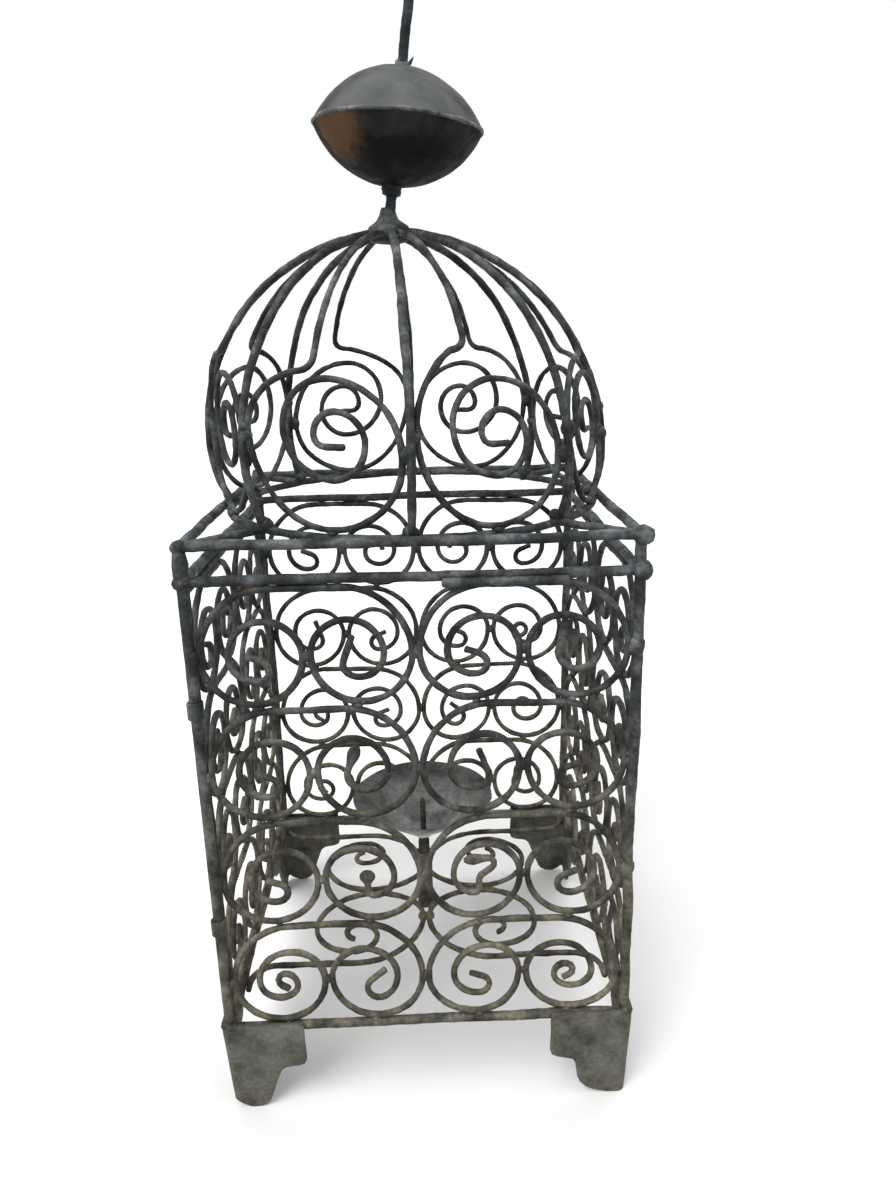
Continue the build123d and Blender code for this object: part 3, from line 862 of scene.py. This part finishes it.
class Meridian:
    """The curve from the leaning apex to the dome's ring: a quarter turn, then a tighter arc inwards."""

    def __init__(self, angle):
        turned = math.radians(angle)
        foot = Vector((RING_RADIUS * math.cos(turned), RING_RADIUS * math.sin(turned), UPPER_Z))
        span = foot - APEX
        drop = -span.z
        flat = Vector((span.x, span.y, 0))
        self.out = flat.normalized()
        self.reach = flat.length
        self.plane = board(APEX, self.out, UPRIGHT)
        self.radius = (self.reach**2 + drop**2) / (2 * drop) + DOME_BULGE
        narrowing = self.radius - self.reach
        self.lower_drop = drop - self.radius
        self.lower_radius = (narrowing**2 + self.lower_drop**2) / (2 * narrowing)
        self.start_turn = math.degrees(math.asin((HUB_RADIUS - HUB_OVERLAP) / self.radius))

    def turn_at(self, height):
        return math.degrees(math.acos(1 - (APEX.z - height) / self.radius))

    def point(self, turn):
        angle = math.radians(turn)
        return (self.radius * math.sin(angle), -self.radius * (1 - math.cos(angle)))

    def leg(self, turn, *more_steps):
        """The leg from inside the hub as far as a turn, and on."""
        steps = [(self.radius, self.start_turn - turn), *more_steps]
        return (self.plane, self.point(self.start_turn), -self.start_turn, steps)

    def rib_leg(self):
        """The leg from inside the hub to just above the ring's middle."""
        foot_turn = math.degrees(math.asin((self.lower_drop - RIB_END_GAP) / self.lower_radius))
        return self.leg(90, (self.lower_radius, -foot_turn))


def make_ribs():
    for index, name in enumerate(RIB_NAMES):
        meridian = Meridian(index * RIB_STEP)
        rib = bent_rod(f"iron_rib_{name}", [meridian.rib_leg()], RIB_WIRE, BUTT_TIP)
        hammer(rib)
        complete(rib, "cage", dome_iron, "forged_iron", f"dome_rib_{name}")
        foot = APEX + meridian.out * meridian.reach
        for _ in range(2):
            place = (foot.x + uneven(-1, 1), foot.y + uneven(-1, 1), UPPER_Z + uneven(1, 4))
            dome_beads.weld(place, RIB_WELD)


def make_dome_ring():
    ring = closed_ring("iron_dome_ring", level_board(UPPER_Z), RING_RADIUS, RING_WIRE, RING_TURN)
    hammer(ring)
    complete(ring, "cage", dome_iron, "forged_iron", "dome_ring")


def make_braces():
    braces = []
    for x, y in CORNERS.values():
        out = outward_from(x, y).normalized()
        ends = [out * reach + UPRIGHT * UPPER_Z for reach in (RING_RADIUS, BRACE_REACH)]
        braces.append(straight_rod("brace", *ends, RIB_WIRE))
    brace_set = join("iron_corner_braces", braces)
    hammer(brace_set)
    complete(brace_set, "cage", dome_iron, "forged_iron", "dome_corner_braces")


# Spirals: a wire runs from the hub down the dome and winds in between two ribs
SPIRAL_MIDDLE = 41.9
SPIRAL_DROP = 85
SPIRAL_SIDE = (-41.8, 49.6)
SPIRAL_WELD_HEIGHTS = (SPIRAL_SIDE[1], 36.3)
RING_WELD = ((2.2, 2.6), (1.4, 1.4, 0.8))
RING_WELD_PLACE = Vector((2, -SPOKE_WIRE, 0))
SPIRAL_WIDEST = BOTTOM_Z + 352
SPIRAL_GAP = 0.2
SPIRAL_HEADING = 185
LEAD_TURNS = (32, 53)
KINK_LENGTH = 7
SPIRAL_STEPS = [
    (53.7, 45),
    (39.7, 45),
    (42.4, 45),
    (33.8, 45),
    (39.3, 90),
    (24, 90),
    (26, 90),
    (18, 90),
    (16, 90),
    (11.5, 90),
    (6, 90),
    10,
]
# Each spoke's turn about Z from the middle of its gap, in degrees, and its kink's rise
SPOKE_PLACES = [(0, 0), (-2, 0), (6, 0), (0, 0), (0, 0), (-2, -6), (-6, 5), (0, 0)]


def rib_gap(angle):
    """Between two ribs: half the clear width for a wire, the way across and the ring's point."""
    beside = []
    for offset in (-RIB_STEP / 2, RIB_STEP / 2):
        meridian = Meridian(angle + offset)
        reach, _ = meridian.point(meridian.turn_at(SPIRAL_WIDEST))
        beside.append(APEX + meridian.out * reach)
    span = beside[1] - beside[0]
    across = span.normalized()
    outward = across.cross(UPRIGHT)
    shift = (beside[0] + beside[1]).dot(across) / 2
    foot = across * shift + outward * math.sqrt(RING_RADIUS**2 - shift**2)
    foot.z = UPPER_Z + RING_WIRE + SPOKE_WIRE + SPIRAL_GAP
    return span.length / 2 - RIB_WIRE - SPOKE_WIRE - SPIRAL_GAP, across, foot


def lead_steps(start, end):
    """Two arcs with the lead's turns, from the kink's bend to the spiral's side."""
    headings = [math.radians(SPIRAL_HEADING)]
    for turn in LEAD_TURNS:
        headings.append(headings[-1] + math.radians(turn))
    sines = [math.sin(second) - math.sin(first) for first, second in zip(headings, headings[1:])]
    cosines = [math.cos(first) - math.cos(second) for first, second in zip(headings, headings[1:])]
    across = end[0] - start[0]
    down = end[1] - start[1]
    share = sines[0] * cosines[1] - sines[1] * cosines[0]
    first = (across * cosines[1] - sines[1] * down) / share
    second = (sines[0] * down - across * cosines[0]) / share
    return [(first, LEAD_TURNS[0]), (second, LEAD_TURNS[1])]


def weld_spiral(panel, reach, scale):
    """A weld on the ring and two lumps on each rib beside a spiral."""
    dome_beads.weld(panel @ RING_WELD_PLACE, RING_WELD)
    for side, height in zip((-reach, reach), SPIRAL_WELD_HEIGHTS):
        for _ in range(2):
            shift = (side + uneven(-0.8, 0.8), height * scale + uneven(-3, 3), uneven(-1, 1))
            dome_beads.add(panel @ Vector(shift), uneven(2.8, 3.8), (1, 1, uneven(1, 1.5)))


def spoke_and_spiral(angle, turn, kink_rise):
    """One wire from the hub, along the dome, round a kink and into its spiral."""
    spoke = Meridian(angle + turn)
    clear, across, foot = rib_gap(angle)
    scale = clear / SPIRAL_MIDDLE
    spoke_turn = spoke.turn_at(foot.z + scale * SPIRAL_DROP + kink_rise + KINK_LENGTH)
    spoke_end = spoke.plane @ Vector((*spoke.point(spoke_turn), 0))
    down = heading_vector(spoke.plane, -spoke_turn)
    kink = spoke_end + down * KINK_LENGTH
    panel = board(foot, across, kink - foot)
    lead = heading_vector(panel, SPIRAL_HEADING)
    bend = down.angle(lead)
    bend_steps = [(KINK_LENGTH / math.tan(bend / 2), math.degrees(bend))]
    bend_leg = (board(spoke_end, down, lead), (0, 0), 0, bend_steps)
    start = panel.inverted() @ (kink + lead * KINK_LENGTH)
    steps = lead_steps(start, (SPIRAL_SIDE[0] * scale, SPIRAL_SIDE[1] * scale))
    steps += [(step[0] * scale, step[1]) if isinstance(step, tuple) else step for step in SPIRAL_STEPS]
    spiral_leg = (panel, (start.x, start.y), SPIRAL_HEADING, steps)
    weld_spiral(panel, clear + SPOKE_WIRE, scale)
    return bent_rod("spiral", [spoke.leg(spoke_turn), bend_leg, spiral_leg], SPOKE_WIRE)


def make_spirals():
    wires = []
    for index, (turn, rise) in enumerate(SPOKE_PLACES):
        wires.append(spoke_and_spiral((index + 0.5) * RIB_STEP, turn, rise))
    spirals = join("iron_dome_spirals", wires)
    hammer(spirals)
    complete(spirals, "cage", dome_iron, "forged_iron", "dome_spirals")


# Hub, finial ball and hanging rod
FINIAL_LEAN = 7.6
BALL_LEAN = 4.6
BALL_RISE = 57
BALL_RADIUS = 49
UPPER_CAP = 31
LOWER_CAP = 32.1
LOW_POLE = BALL_RISE - LOWER_CAP
HIGH_POLE = BALL_RISE + UPPER_CAP
SHELL = 1.2
SHELL_STEPS = 22
OUTER_WALL_END = 0.975
INNER_WALL_END = 0.96
SEAM_WIRE = 1.3
SEAM_INSET = 1
SEAM_TURN = 359.3
HUB_DENTS = 2.6
ROD_RADIUS = 2.8
ROD_LENGTH = 38
ROD_DEPTH = 4
EYE_RADIUS = 9.8
EYE_TURNS = (-42, 305)
HUB_OUTLINE = [
    (0, -HUB_DROP),
    (6, -5.6),
    (10.5, -4.5),
    (12.6, -2),
    (12.9, 1),
    (11.4, 3.2),
    (8.6, 5),
    (6.4, 7.2),
    (5, 9.8),
    (4.2, 12),
    (3.4, 13.5),
    (0, 13.6),
]
STEM_OUTLINE = [
    (0, 8),
    (3.6, 8),
    (3.1, 12),
    (2.9, LOW_POLE - 7),
    (3.3, LOW_POLE - 5.4),
    (5.2, LOW_POLE - 4.6),
    (5.6, LOW_POLE - 2.6),
    (5.0, LOW_POLE - 0.8),
    (5.6, LOW_POLE + 0.3),
    (4.4, LOW_POLE + 1.6),
    (0, LOW_POLE + 1.8),
]
# Lumps where the rod enters the ball and where the ball sits on its stem: place, size and stretch
ROD_WELDS = (
    ((0, HIGH_POLE + 0.2), 4.6, (1.15, 1.1, 0.6)),
    ((-1.8, HIGH_POLE + 1.8), 2.4, (1, 1, 1.2)),
    ((1.5, HIGH_POLE + 1.6), 2.4, (1, 1, 1)),
    ((0, LOW_POLE - 1), 4.4, (1.35, 1.15, 0.7)),
)
# Painted light and shade: the upper shell's tones are lighter for the light from above, the lower shell's
# near black for the shade beneath
UPPER_TONES_PAINTED_LIGHT = ((0.05, 0.053, 0.053), (0.098, 0.103, 0.103), (0.14, 0.146, 0.144))
LOWER_TONES_PAINTED_SHADE = ((0.004, 0.0044, 0.0044), (0.008, 0.0084, 0.0084), (0.022, 0.0225, 0.0225))
# The middle of the rusty place on the ball: right and up from the seam's middle, and towards the front
RUST_PLACE = (-35, -8, 28)
THORN_ENDS = ((2.4, HIGH_POLE - 1), (4.6, HIGH_POLE + 3.5))
THORN_RADIUS = 1


def leaning_board(origin, lean):
    """A board that faces the front and leans to the right by some degrees."""
    angle = math.radians(lean)
    return board(origin, (math.cos(angle), 0, -math.sin(angle)), (math.sin(angle), 0, math.cos(angle)))


finial_board = leaning_board(APEX, FINIAL_LEAN)
seam_centre = finial_board @ Vector((0, BALL_RISE, 0))
ball_board = leaning_board(seam_centre, BALL_LEAN)


def shell_wall(radius, cap_middle, angle, up):
    """An arc of wall from the pole out to an angle."""
    angles = [angle * index / SHELL_STEPS for index in range(SHELL_STEPS + 1)]
    return [(radius * math.sin(turn), up * (cap_middle + radius * math.cos(turn))) for turn in angles]


def shell_outline(cap, up):
    """Outer and inner wall of one shell, from the pole out to the seam and back."""
    radius = (BALL_RADIUS**2 + cap**2) / (2 * cap)
    rim_angle = math.asin(BALL_RADIUS / radius)
    rim = [(BALL_RADIUS - 0.25, up * 0.5), (BALL_RADIUS - 0.9, up * 0.1)]
    inner = shell_wall(radius - SHELL, cap - radius, rim_angle * INNER_WALL_END, up)
    return shell_wall(radius, cap - radius, rim_angle * OUTER_WALL_END, up) + rim + inner[::-1]


def make_ball():
    rust_centre = (ball_board @ Vector(RUST_PLACE)) * MM
    # The upper sheet takes the tones of painted light, the lower sheet those of painted shade
    upper_sheet = finial_iron("finial upper sheet", UPPER_TONES_PAINTED_LIGHT, 0.3, 0.004, rust_centre)
    lower_sheet = finial_iron("finial lower sheet", LOWER_TONES_PAINTED_SHADE, 0.95, 0.012, rust_centre)
    halves = (("upper", UPPER_CAP, 1, upper_sheet), ("lower", LOWER_CAP, -1, lower_sheet))
    for name, cap, up, sheet in halves:
        half_ball = lathe(f"iron_finial_{name}", ball_board, shell_outline(cap, up))
        hammer(half_ball, pits=0, dents=0.5)
        complete(half_ball, "cage", sheet, "finial_iron", f"finial_{name}_shell")


def make_seam():
    """The weld round the ball."""
    plane = board(seam_centre, ball_board.col[0].to_3d(), ball_board.col[2].to_3d())
    seam = closed_ring("iron_finial_seam", plane, BALL_RADIUS - SEAM_INSET, SEAM_WIRE, SEAM_TURN)
    hammer(seam, dents=1.1)
    complete(seam, "cage", seam_iron, "finial_iron")


def make_hub():
    hub = lathe("iron_dome_hub", board(APEX, (1, 0, 0), UPRIGHT), HUB_OUTLINE, segments=48)
    displace(hub, DENTS, HUB_DENTS)
    hammer(hub, pits=0.8, dents=0)
    complete(hub, "cage", dome_iron, "forged_iron", "dome_hub")


def make_stem():
    stem = lathe("iron_finial_stem", finial_board, STEM_OUTLINE, segments=32)
    hammer(stem, pits=0, dents=1.0)
    complete(stem, "cage", rod_iron, "forged_iron", "finial_stem")


def make_hanging_rod():
    steps = [ROD_LENGTH] + [(EYE_RADIUS, turn) for turn in EYE_TURNS]
    leg = (finial_board, (0, HIGH_POLE - ROD_DEPTH), 90, steps)
    hanger = bent_rod("iron_hanging_rod", [leg], ROD_RADIUS)
    hammer(hanger)
    complete(hanger, "cage", rod_iron, "forged_iron", "hanging_rod")
    ends = [finial_board @ Vector((*point, 0)) for point in THORN_ENDS]
    thorn = straight_rod("iron_rod_thorn", *ends, THORN_RADIUS, THORN_TIP)
    hammer(thorn, pits=0, dents=0)
    complete(thorn, "cage", rod_iron, "forged_iron")
    for place, size, stretch in ROD_WELDS:
        dome_beads.add(finial_board @ Vector((*place, 0)), size, stretch)


# Candle dish, spigot, pricket and socket, all turned round one upright line
DISH_BASE = 6
DISH_SHEET = 1.5
DISH_STEPS = 18
RIM_INSET = 0.6
BORE = 4.05
SOCKET_FLOOR = (1.5, 2.9)
SOCKET_WELD = 3.2
SOCKET_WELD_PLACE = (5, -4)
dish_board = board((SOCKET.x, SOCKET.y, 0), (1, 0, 0), UPRIGHT)


def radius_and_ends(node):
    """A turned node's radius, and the heights of its ends."""
    low, high = box_mm(node)
    return (high.x - low.x) / 2, low.z, high.z


def make_dish():
    radius, base, rim = radius_and_ends("candle_dish")
    slope = (rim - DISH_SHEET - base) / (radius - DISH_BASE)
    width = radius - RIM_INSET - DISH_BASE
    run = [width * index / DISH_STEPS for index in range(DISH_STEPS + 1)]
    cone = [(DISH_BASE + out, base + out * slope) for out in run]
    under = [(0, base - 0.2), (3, base - 0.1)] + cone
    edge = [(radius, rim - 0.8), (radius - 0.2, rim - 0.1)]
    above = [(out, height + DISH_SHEET) for out, height in [(0, base), (3, base)] + cone]
    dish = lathe("iron_candle_dish", dish_board, under + edge + above[::-1])
    hammer(dish, pits=0, dents=0.8, wave=2.0)
    complete(dish, "dish", dish_iron, "dish_iron", "candle_dish")


def make_spigot():
    radius, low, high = radius_and_ends("dish_spigot")
    outline = [
        (0, low),
        (radius - 0.6, low),
        (radius, low + 0.8),
        (radius, high - 6),
        (radius - 0.7, high - 3),
        (radius + 0.6, high),
        (0, high + 0.4),
    ]
    spigot = lathe("iron_dish_spigot", dish_board, outline, segments=32)
    complete(spigot, "dish", rod_iron, "forged_iron", "dish_spigot")


def make_pricket():
    radius, low, high = radius_and_ends("pricket")
    outline = [
        (0, low - 0.5),
        (radius + 1.4, low - 0.2),
        (radius + 0.4, low + 1.2),
        (radius, low + 3),
        (radius, low + 10),
        (radius * 0.97, high - 6),
        (radius * 0.85, high - 2),
        (radius * 0.5, high - 0.3),
        (0, high + 0.1),
    ]
    spike = lathe("iron_pricket", dish_board, outline, segments=24)
    hammer(spike, pits=0, dents=0.4, wave=0)
    complete(spike, "dish", rod_iron, "forged_iron", "pricket")


def make_socket():
    """A tube with a closed floor, welded between the floor scrolls."""
    radius, low, high = radius_and_ends("dish_socket")
    under_floor, top_of_floor = SOCKET_FLOOR
    outline = [
        (0, low + under_floor),
        (BORE - 0.6, low + under_floor),
        (BORE, low),
        (radius - 0.4, low),
        (radius, low + 0.5),
        (radius, high - 0.5),
        (radius - 0.4, high),
        (BORE + 0.4, high),
        (BORE, high - 0.4),
        (BORE, low + top_of_floor),
        (0, low + top_of_floor),
    ]
    socket = lathe("iron_dish_socket", dish_board, outline, segments=40)
    complete(socket, "cage", frame_iron, "forged_iron", "dish_socket")
    side, front = SOCKET_WELD_PLACE
    for hand in (-1, 1):
        cage_beads.add((hand * side, SOCKET.y + front, BOTTOM_Z), SOCKET_WELD, (1, 1, 0.8))


# Feet: plates cut from sheet, folded round the corner and worn round at the ground
FOOT_SHEET = 2
FOOT_FOLD = 5
FOLD_MIDDLE = Vector((FOOT_FOLD, FOOT_FOLD, 0))
FOLD_TURN = 45
FOLD_STEPS = 4
FOOT_EDGE = 0.5
FOOT_WELD = 3.2
FOOT_WELD_RISE = 3
FOOT_WELD_SHIFT = 1.5
FOOT_GRID = 7
FOOT_TOP = box_mm("foot_front_left")[1].z
FOOT_WIDTH = span_mm("foot_front_left").x
FOOT_SHOULDER = [(FOOT_WIDTH, FOOT_TOP - 1.5), (FOOT_WIDTH - 1, FOOT_TOP), (FOOT_FOLD, FOOT_TOP)]
PLAIN_FOOT = [
    (FOOT_FOLD, 1),
    (9, 0.3),
    (13, 0.2),
    (17, 0.8),
    (20.5, 2.2),
    (23, 4.8),
    (24.5, 8),
    (28, 16),
    (31.5, 24.5),
    (33.5, 28.5),
    (36.5, 30.6),
    (45, 31.6),
    (48.6, 33.2),
    (FOOT_WIDTH, 36.5),
]
# The front right foot is cut with a broader leg that slopes to its outer corner
BROAD_FOOT = [
    (FOOT_FOLD, 0.2),
    (12, 0.4),
    (20, 2.2),
    (25, 4.8),
    (29, 9),
    (31, 13),
    (33, 24),
    (35, 27.5),
    (45, 30),
    (48.8, 32),
    (FOOT_WIDTH, 36),
]
# Slanting cuts that round the fold's lower end: a height at its middle, and a rise towards its outside
FOLD_CUTS = ((0.6, 0.5), (-2, 1.6))
# How far a foot leans in at the ground, and the height over which it does
FOOT_LEAN = Vector((2.6, 2.6, 0))
LEAN_HEIGHT = 55


def select_where(piece, parts, test):
    """Selects the vertices or edges of the edited piece that pass a test, and nothing else."""
    bpy.ops.mesh.select_all(action="DESELECT")
    bpy.ops.object.mode_set(mode="OBJECT")
    for part in getattr(piece.data, parts):
        part.select = test(part)
    bpy.ops.object.mode_set(mode="EDIT")


def folded_half(outline, plane, turn):
    """One leg of a foot with its half of the fold, spun about an upright line."""
    half = trace("foot_half", [spot(plane, point) for point in outline])
    bpy.ops.mesh.select_all(action="SELECT")
    bpy.ops.mesh.edge_face_add()
    bpy.ops.mesh.select_mode(type="EDGE")
    back = plane.inverted()

    def on_fold(edge):
        ends = [back @ (half.data.vertices[index].co / MM) for index in edge.vertices]
        return all(abs(end.x - FOOT_FOLD) < MERGE_GAP for end in ends)

    select_where(half, "edges", on_fold)
    bpy.ops.mesh.spin(
        steps=FOLD_STEPS, angle=-math.radians(turn), center=FOLD_MIDDLE * MM, axis=UPRIGHT
    )
    bpy.ops.object.mode_set(mode="OBJECT")
    return half


def cut_grid(piece):
    """Cuts the edited sheet across every few millimetres, so that it can be dented."""
    bpy.ops.object.mode_set(mode="OBJECT")
    corners = [Vector(corner) / MM for corner in piece.bound_box]
    bpy.ops.object.mode_set(mode="EDIT")
    for axis in range(3):
        normal = Vector((0, 0, 0))
        normal[axis] = 1
        place = min(corner[axis] for corner in corners) + FOOT_GRID
        while place < max(corner[axis] for corner in corners):
            bpy.ops.mesh.select_all(action="SELECT")
            bpy.ops.mesh.bisect(plane_co=normal * place * MM, plane_no=normal)
            place += FOOT_GRID


def lean_in(foot):
    """Pushes a foot's ground end inwards, less and less towards its top."""
    edit("DESELECT", "VERT")
    select_where(foot, "vertices", lambda vertex: vertex.co.z < FOOT_GRID / 2 * MM)
    bpy.ops.transform.translate(
        value=FOOT_LEAN * MM,
        use_proportional_edit=True,
        proportional_edit_falloff="LINEAR",
        proportional_size=LEAN_HEIGHT * MM,
    )
    bpy.ops.object.mode_set(mode="OBJECT")


def face_outwards(foot):
    """Turns the sheet's faces away from the fold's middle."""
    widest = max(foot.data.polygons, key=lambda polygon: polygon.area)
    if widest.normal.x + widest.normal.y > 0:
        edit()
        bpy.ops.mesh.flip_normals()
        bpy.ops.object.mode_set(mode="OBJECT")


def folded_foot(outline, cuts):
    """A foot of sheet with its outer corner on the origin, folded round an upright line."""
    outline = outline + FOOT_SHOULDER
    face = folded_half(outline, board((0, 0, 0), (1, 0, 0), UPRIGHT), -FOLD_TURN)
    flank = folded_half(outline, board((0, 0, 0), (0, 1, 0), UPRIGHT), FOLD_TURN)
    foot = join("flat_foot", [face, flank])
    bpy.ops.object.mode_set(mode="EDIT")
    for height, rise in cuts:
        bpy.ops.mesh.select_all(action="SELECT")
        bpy.ops.mesh.bisect(
            plane_co=(FOLD_MIDDLE + UPRIGHT * height) * MM,
            plane_no=Vector((-rise, -rise, -math.sqrt(2))),
            clear_outer=True,
        )
    cut_grid(foot)
    close_mesh()
    lean_in(foot)
    face_outwards(foot)
    apply_modifier(foot, "SOLIDIFY", thickness=FOOT_SHEET * MM, offset=-1)
    apply_modifier(
        foot, "BEVEL", width=FOOT_EDGE * MM, segments=2, limit_method="ANGLE", angle_limit=SMOOTH_ANGLE
    )
    return foot


def make_feet():
    plain_foot = folded_foot(PLAIN_FOOT, FOLD_CUTS)
    broad_foot = folded_foot(BROAD_FOOT, ())
    for quarter, (name, (x, y)) in enumerate(CORNERS.items()):
        low, high = box_mm(f"foot_{name}")
        corner = (low.x if x < 0 else high.x, low.y if y < 0 else high.y, 0)
        turned = Matrix.Rotation(math.radians(90 * quarter), 3, "Z")
        plane = board(corner, turned.col[0], turned.col[1])
        pattern = broad_foot if name == "front_right" else plain_foot
        foot = copy_to(pattern, plane, name=f"iron_foot_{name}")
        hammer(foot, pits=0, dents=0.4, wave=1.2)
        complete(foot, "cage", foot_iron, "foot_iron", f"foot_{name}")
        place = Vector((x, y, BOTTOM_Z + FOOT_WELD_RISE)) + outward_from(x, y) * FOOT_WELD_SHIFT
        cage_beads.add(place, FOOT_WELD, (1.2, 1.2, 0.7))
    bpy.data.objects.remove(plain_foot)
    bpy.data.objects.remove(broad_foot)


# Door frame, straps and turn button
STRAP_GAP = 0.25
STRAP_EDGE = (0.4, 0.5)
STRAP_WELD = 2.3
STRAP_WELD_SHIFT = 0.6
DOOR_WELD = ((2.4, 2.9), (1, 1, 1))


def make_door_bars(nodes, along):
    """Two bars of the door's frame, modelled once and copied onto their nodes."""
    flat_bar = flat_rod(span_mm(nodes[0]).dot(along), span_mm("door_hinge_bar").x / 2)
    for node in nodes:
        low, high = box_mm(node)
        middle = (low + high) / 2
        start = middle - along * (high - low).dot(along) / 2
        start.x = -HALF
        bar = copy_to(flat_bar, board(start, along, (1, 0, 0)), name=f"iron_{node}")
        hammer(bar)
        complete(bar, "door", scroll_iron, "forged_iron", node)
    bpy.data.objects.remove(flat_bar)


def make_door_frame():
    level_bars = ("door_top_bar", "door_bottom_bar")
    make_door_bars(("door_hinge_bar", "door_latch_bar"), UPRIGHT)
    make_door_bars(level_bars, Vector((0, 1, 0)))
    for node in level_bars:
        low, high = box_mm(node)
        for y in (low.y, high.y):
            door_beads.weld((-HALF, y, (low.z + high.z) / 2), DOOR_WELD)


def make_straps():
    outer, low, high = radius_and_ends("hinge_strap_lower")
    inner = POST_RADIUS + STRAP_GAP
    height = high - low
    inset, rise = STRAP_EDGE
    outline = [
        (inner, 0),
        (outer - inset, 0),
        (outer, rise),
        (outer, height - rise),
        (outer - inset, height),
        (inner, height),
        (inner, 0),
    ]
    flat_strap = lathe("flat_strap", board((0, 0, 0), (1, 0, 0), UPRIGHT), outline, segments=36)
    for place in ("lower", "upper"):
        _, low, high = radius_and_ends(f"hinge_strap_{place}")
        plane = board((-HALF, -HALF, low), (1, 0, 0), (0, 1, 0))
        strap = copy_to(flat_strap, plane, name=f"iron_hinge_strap_{place}")
        complete(strap, "door", frame_iron, "forged_iron", f"hinge_strap_{place}")
        weld_point = (-HALF, -HALF + outer + STRAP_WELD_SHIFT, (low + high) / 2)
        door_beads.add(weld_point, STRAP_WELD, (1, 0.7, 2))
    bpy.data.objects.remove(flat_strap)


def finish_latch():
    for node in ("latch_button", "latch_rivet"):
        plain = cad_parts[node]
        plain.data.materials.clear()
        plain.data.materials.append(frame_iron)


# Stage: pale floor, soft light and the photograph's camera
FLOOR_SIZE = 30
FLOOR_PLACE = (0, 8, 0)
FLOOR_TONES = ((0.3, (0.9, 0.9, 0.9)), (0.7, (0.92, 0.92, 0.92)))
SKY_LEVEL = 0.5
WHITE_LEVEL = 1.0


def lay_floor():
    pick()
    bpy.ops.mesh.primitive_plane_add(size=FLOOR_SIZE, location=FLOOR_PLACE)
    floor = bpy.context.object
    floor.name = "studio_floor"
    paint = Finish("studio floor")
    paint.surface("Roughness", 0.9)
    paint.surface("Base Color", paint.ramp(paint.noise(3, 3), FLOOR_TONES))
    floor.data.materials.append(paint.material)


def light_sky():
    """An even sky that the camera, gloss and glass see as white."""
    world = bpy.data.worlds.new("studio")
    bpy.context.scene.world = world
    sky = NodeSheet(world)
    background = sky.tree.nodes["Background"]
    sky.plug((1, 1, 1), background.inputs["Color"])
    rays = sky.node("ShaderNodeLightPath", {}).outputs
    seen = sky.math("MAXIMUM", rays["Is Camera Ray"], rays["Is Glossy Ray"])
    seen = sky.math("MAXIMUM", seen, rays["Is Transmission Ray"])
    level = sky.node("ShaderNodeMapRange", {"Value": seen, "To Min": SKY_LEVEL, "To Max": WHITE_LEVEL})
    sky.plug(level.outputs["Result"], background.inputs["Strength"])


def soft_sun(name, direction, softness, strength):
    """An even light from far away."""
    lamp = bpy.data.lights.new(name, "SUN")
    lamp.angle = math.radians(softness)
    lamp.energy = strength
    holder = bpy.data.objects.new(name, lamp)
    holder.rotation_euler = Vector(direction).to_track_quat("-Z", "Y").to_euler()
    bpy.context.scene.collection.objects.link(holder)


# The camera's place and turn, which the cage's straight edges give in the photograph
FOCAL_PIXELS = 902.18
IMAGE_HEIGHT = 1195
SENSOR = 36
EYE_POINT = Vector((0.00606, -0.57533, 0.46289))
EYE_RIGHT = Vector((0.99923, -0.0329, -0.02138))
EYE_DOWN = Vector((-0.02988, -0.28494, -0.95808))


def set_camera():
    lens = bpy.data.cameras.new("photo camera")
    lens.sensor_fit = "VERTICAL"
    lens.sensor_height = SENSOR
    lens.lens = FOCAL_PIXELS / IMAGE_HEIGHT * SENSOR
    lens.clip_start = 0.01
    camera = bpy.data.objects.new("photo camera", lens)
    turn = Matrix((EYE_RIGHT, -EYE_DOWN, -EYE_RIGHT.cross(EYE_DOWN))).transposed()
    camera.matrix_world = Matrix.Translation(EYE_POINT) @ turn.to_4x4()
    bpy.context.scene.collection.objects.link(camera)
    bpy.context.scene.camera = camera
    bpy.context.scene.view_settings.view_transform = "Standard"


# The order of making fixes the random sizes of the welds
make_panels()
make_posts()
weld_corners()
make_rails()
make_splice()
make_floor_scrolls()
make_ribs()
make_dome_ring()
make_braces()
make_spirals()
make_ball()
make_seam()
make_hub()
make_stem()
make_hanging_rod()
make_dish()
make_spigot()
make_pricket()
make_socket()
make_feet()
make_door_frame()
make_straps()
finish_latch()
cage_beads.build("welds_of_the_cage", "cage")
door_beads.build("welds_of_the_door", "door")
dome_beads.build("welds_of_the_dome", "cage")
lay_floor()
light_sky()
soft_sun("window", (0.55, 0.75, -1.1), softness=35, strength=2.0)
soft_sun("ceiling", (-0.1, -0.15, -1), softness=60, strength=1.3)
set_camera()
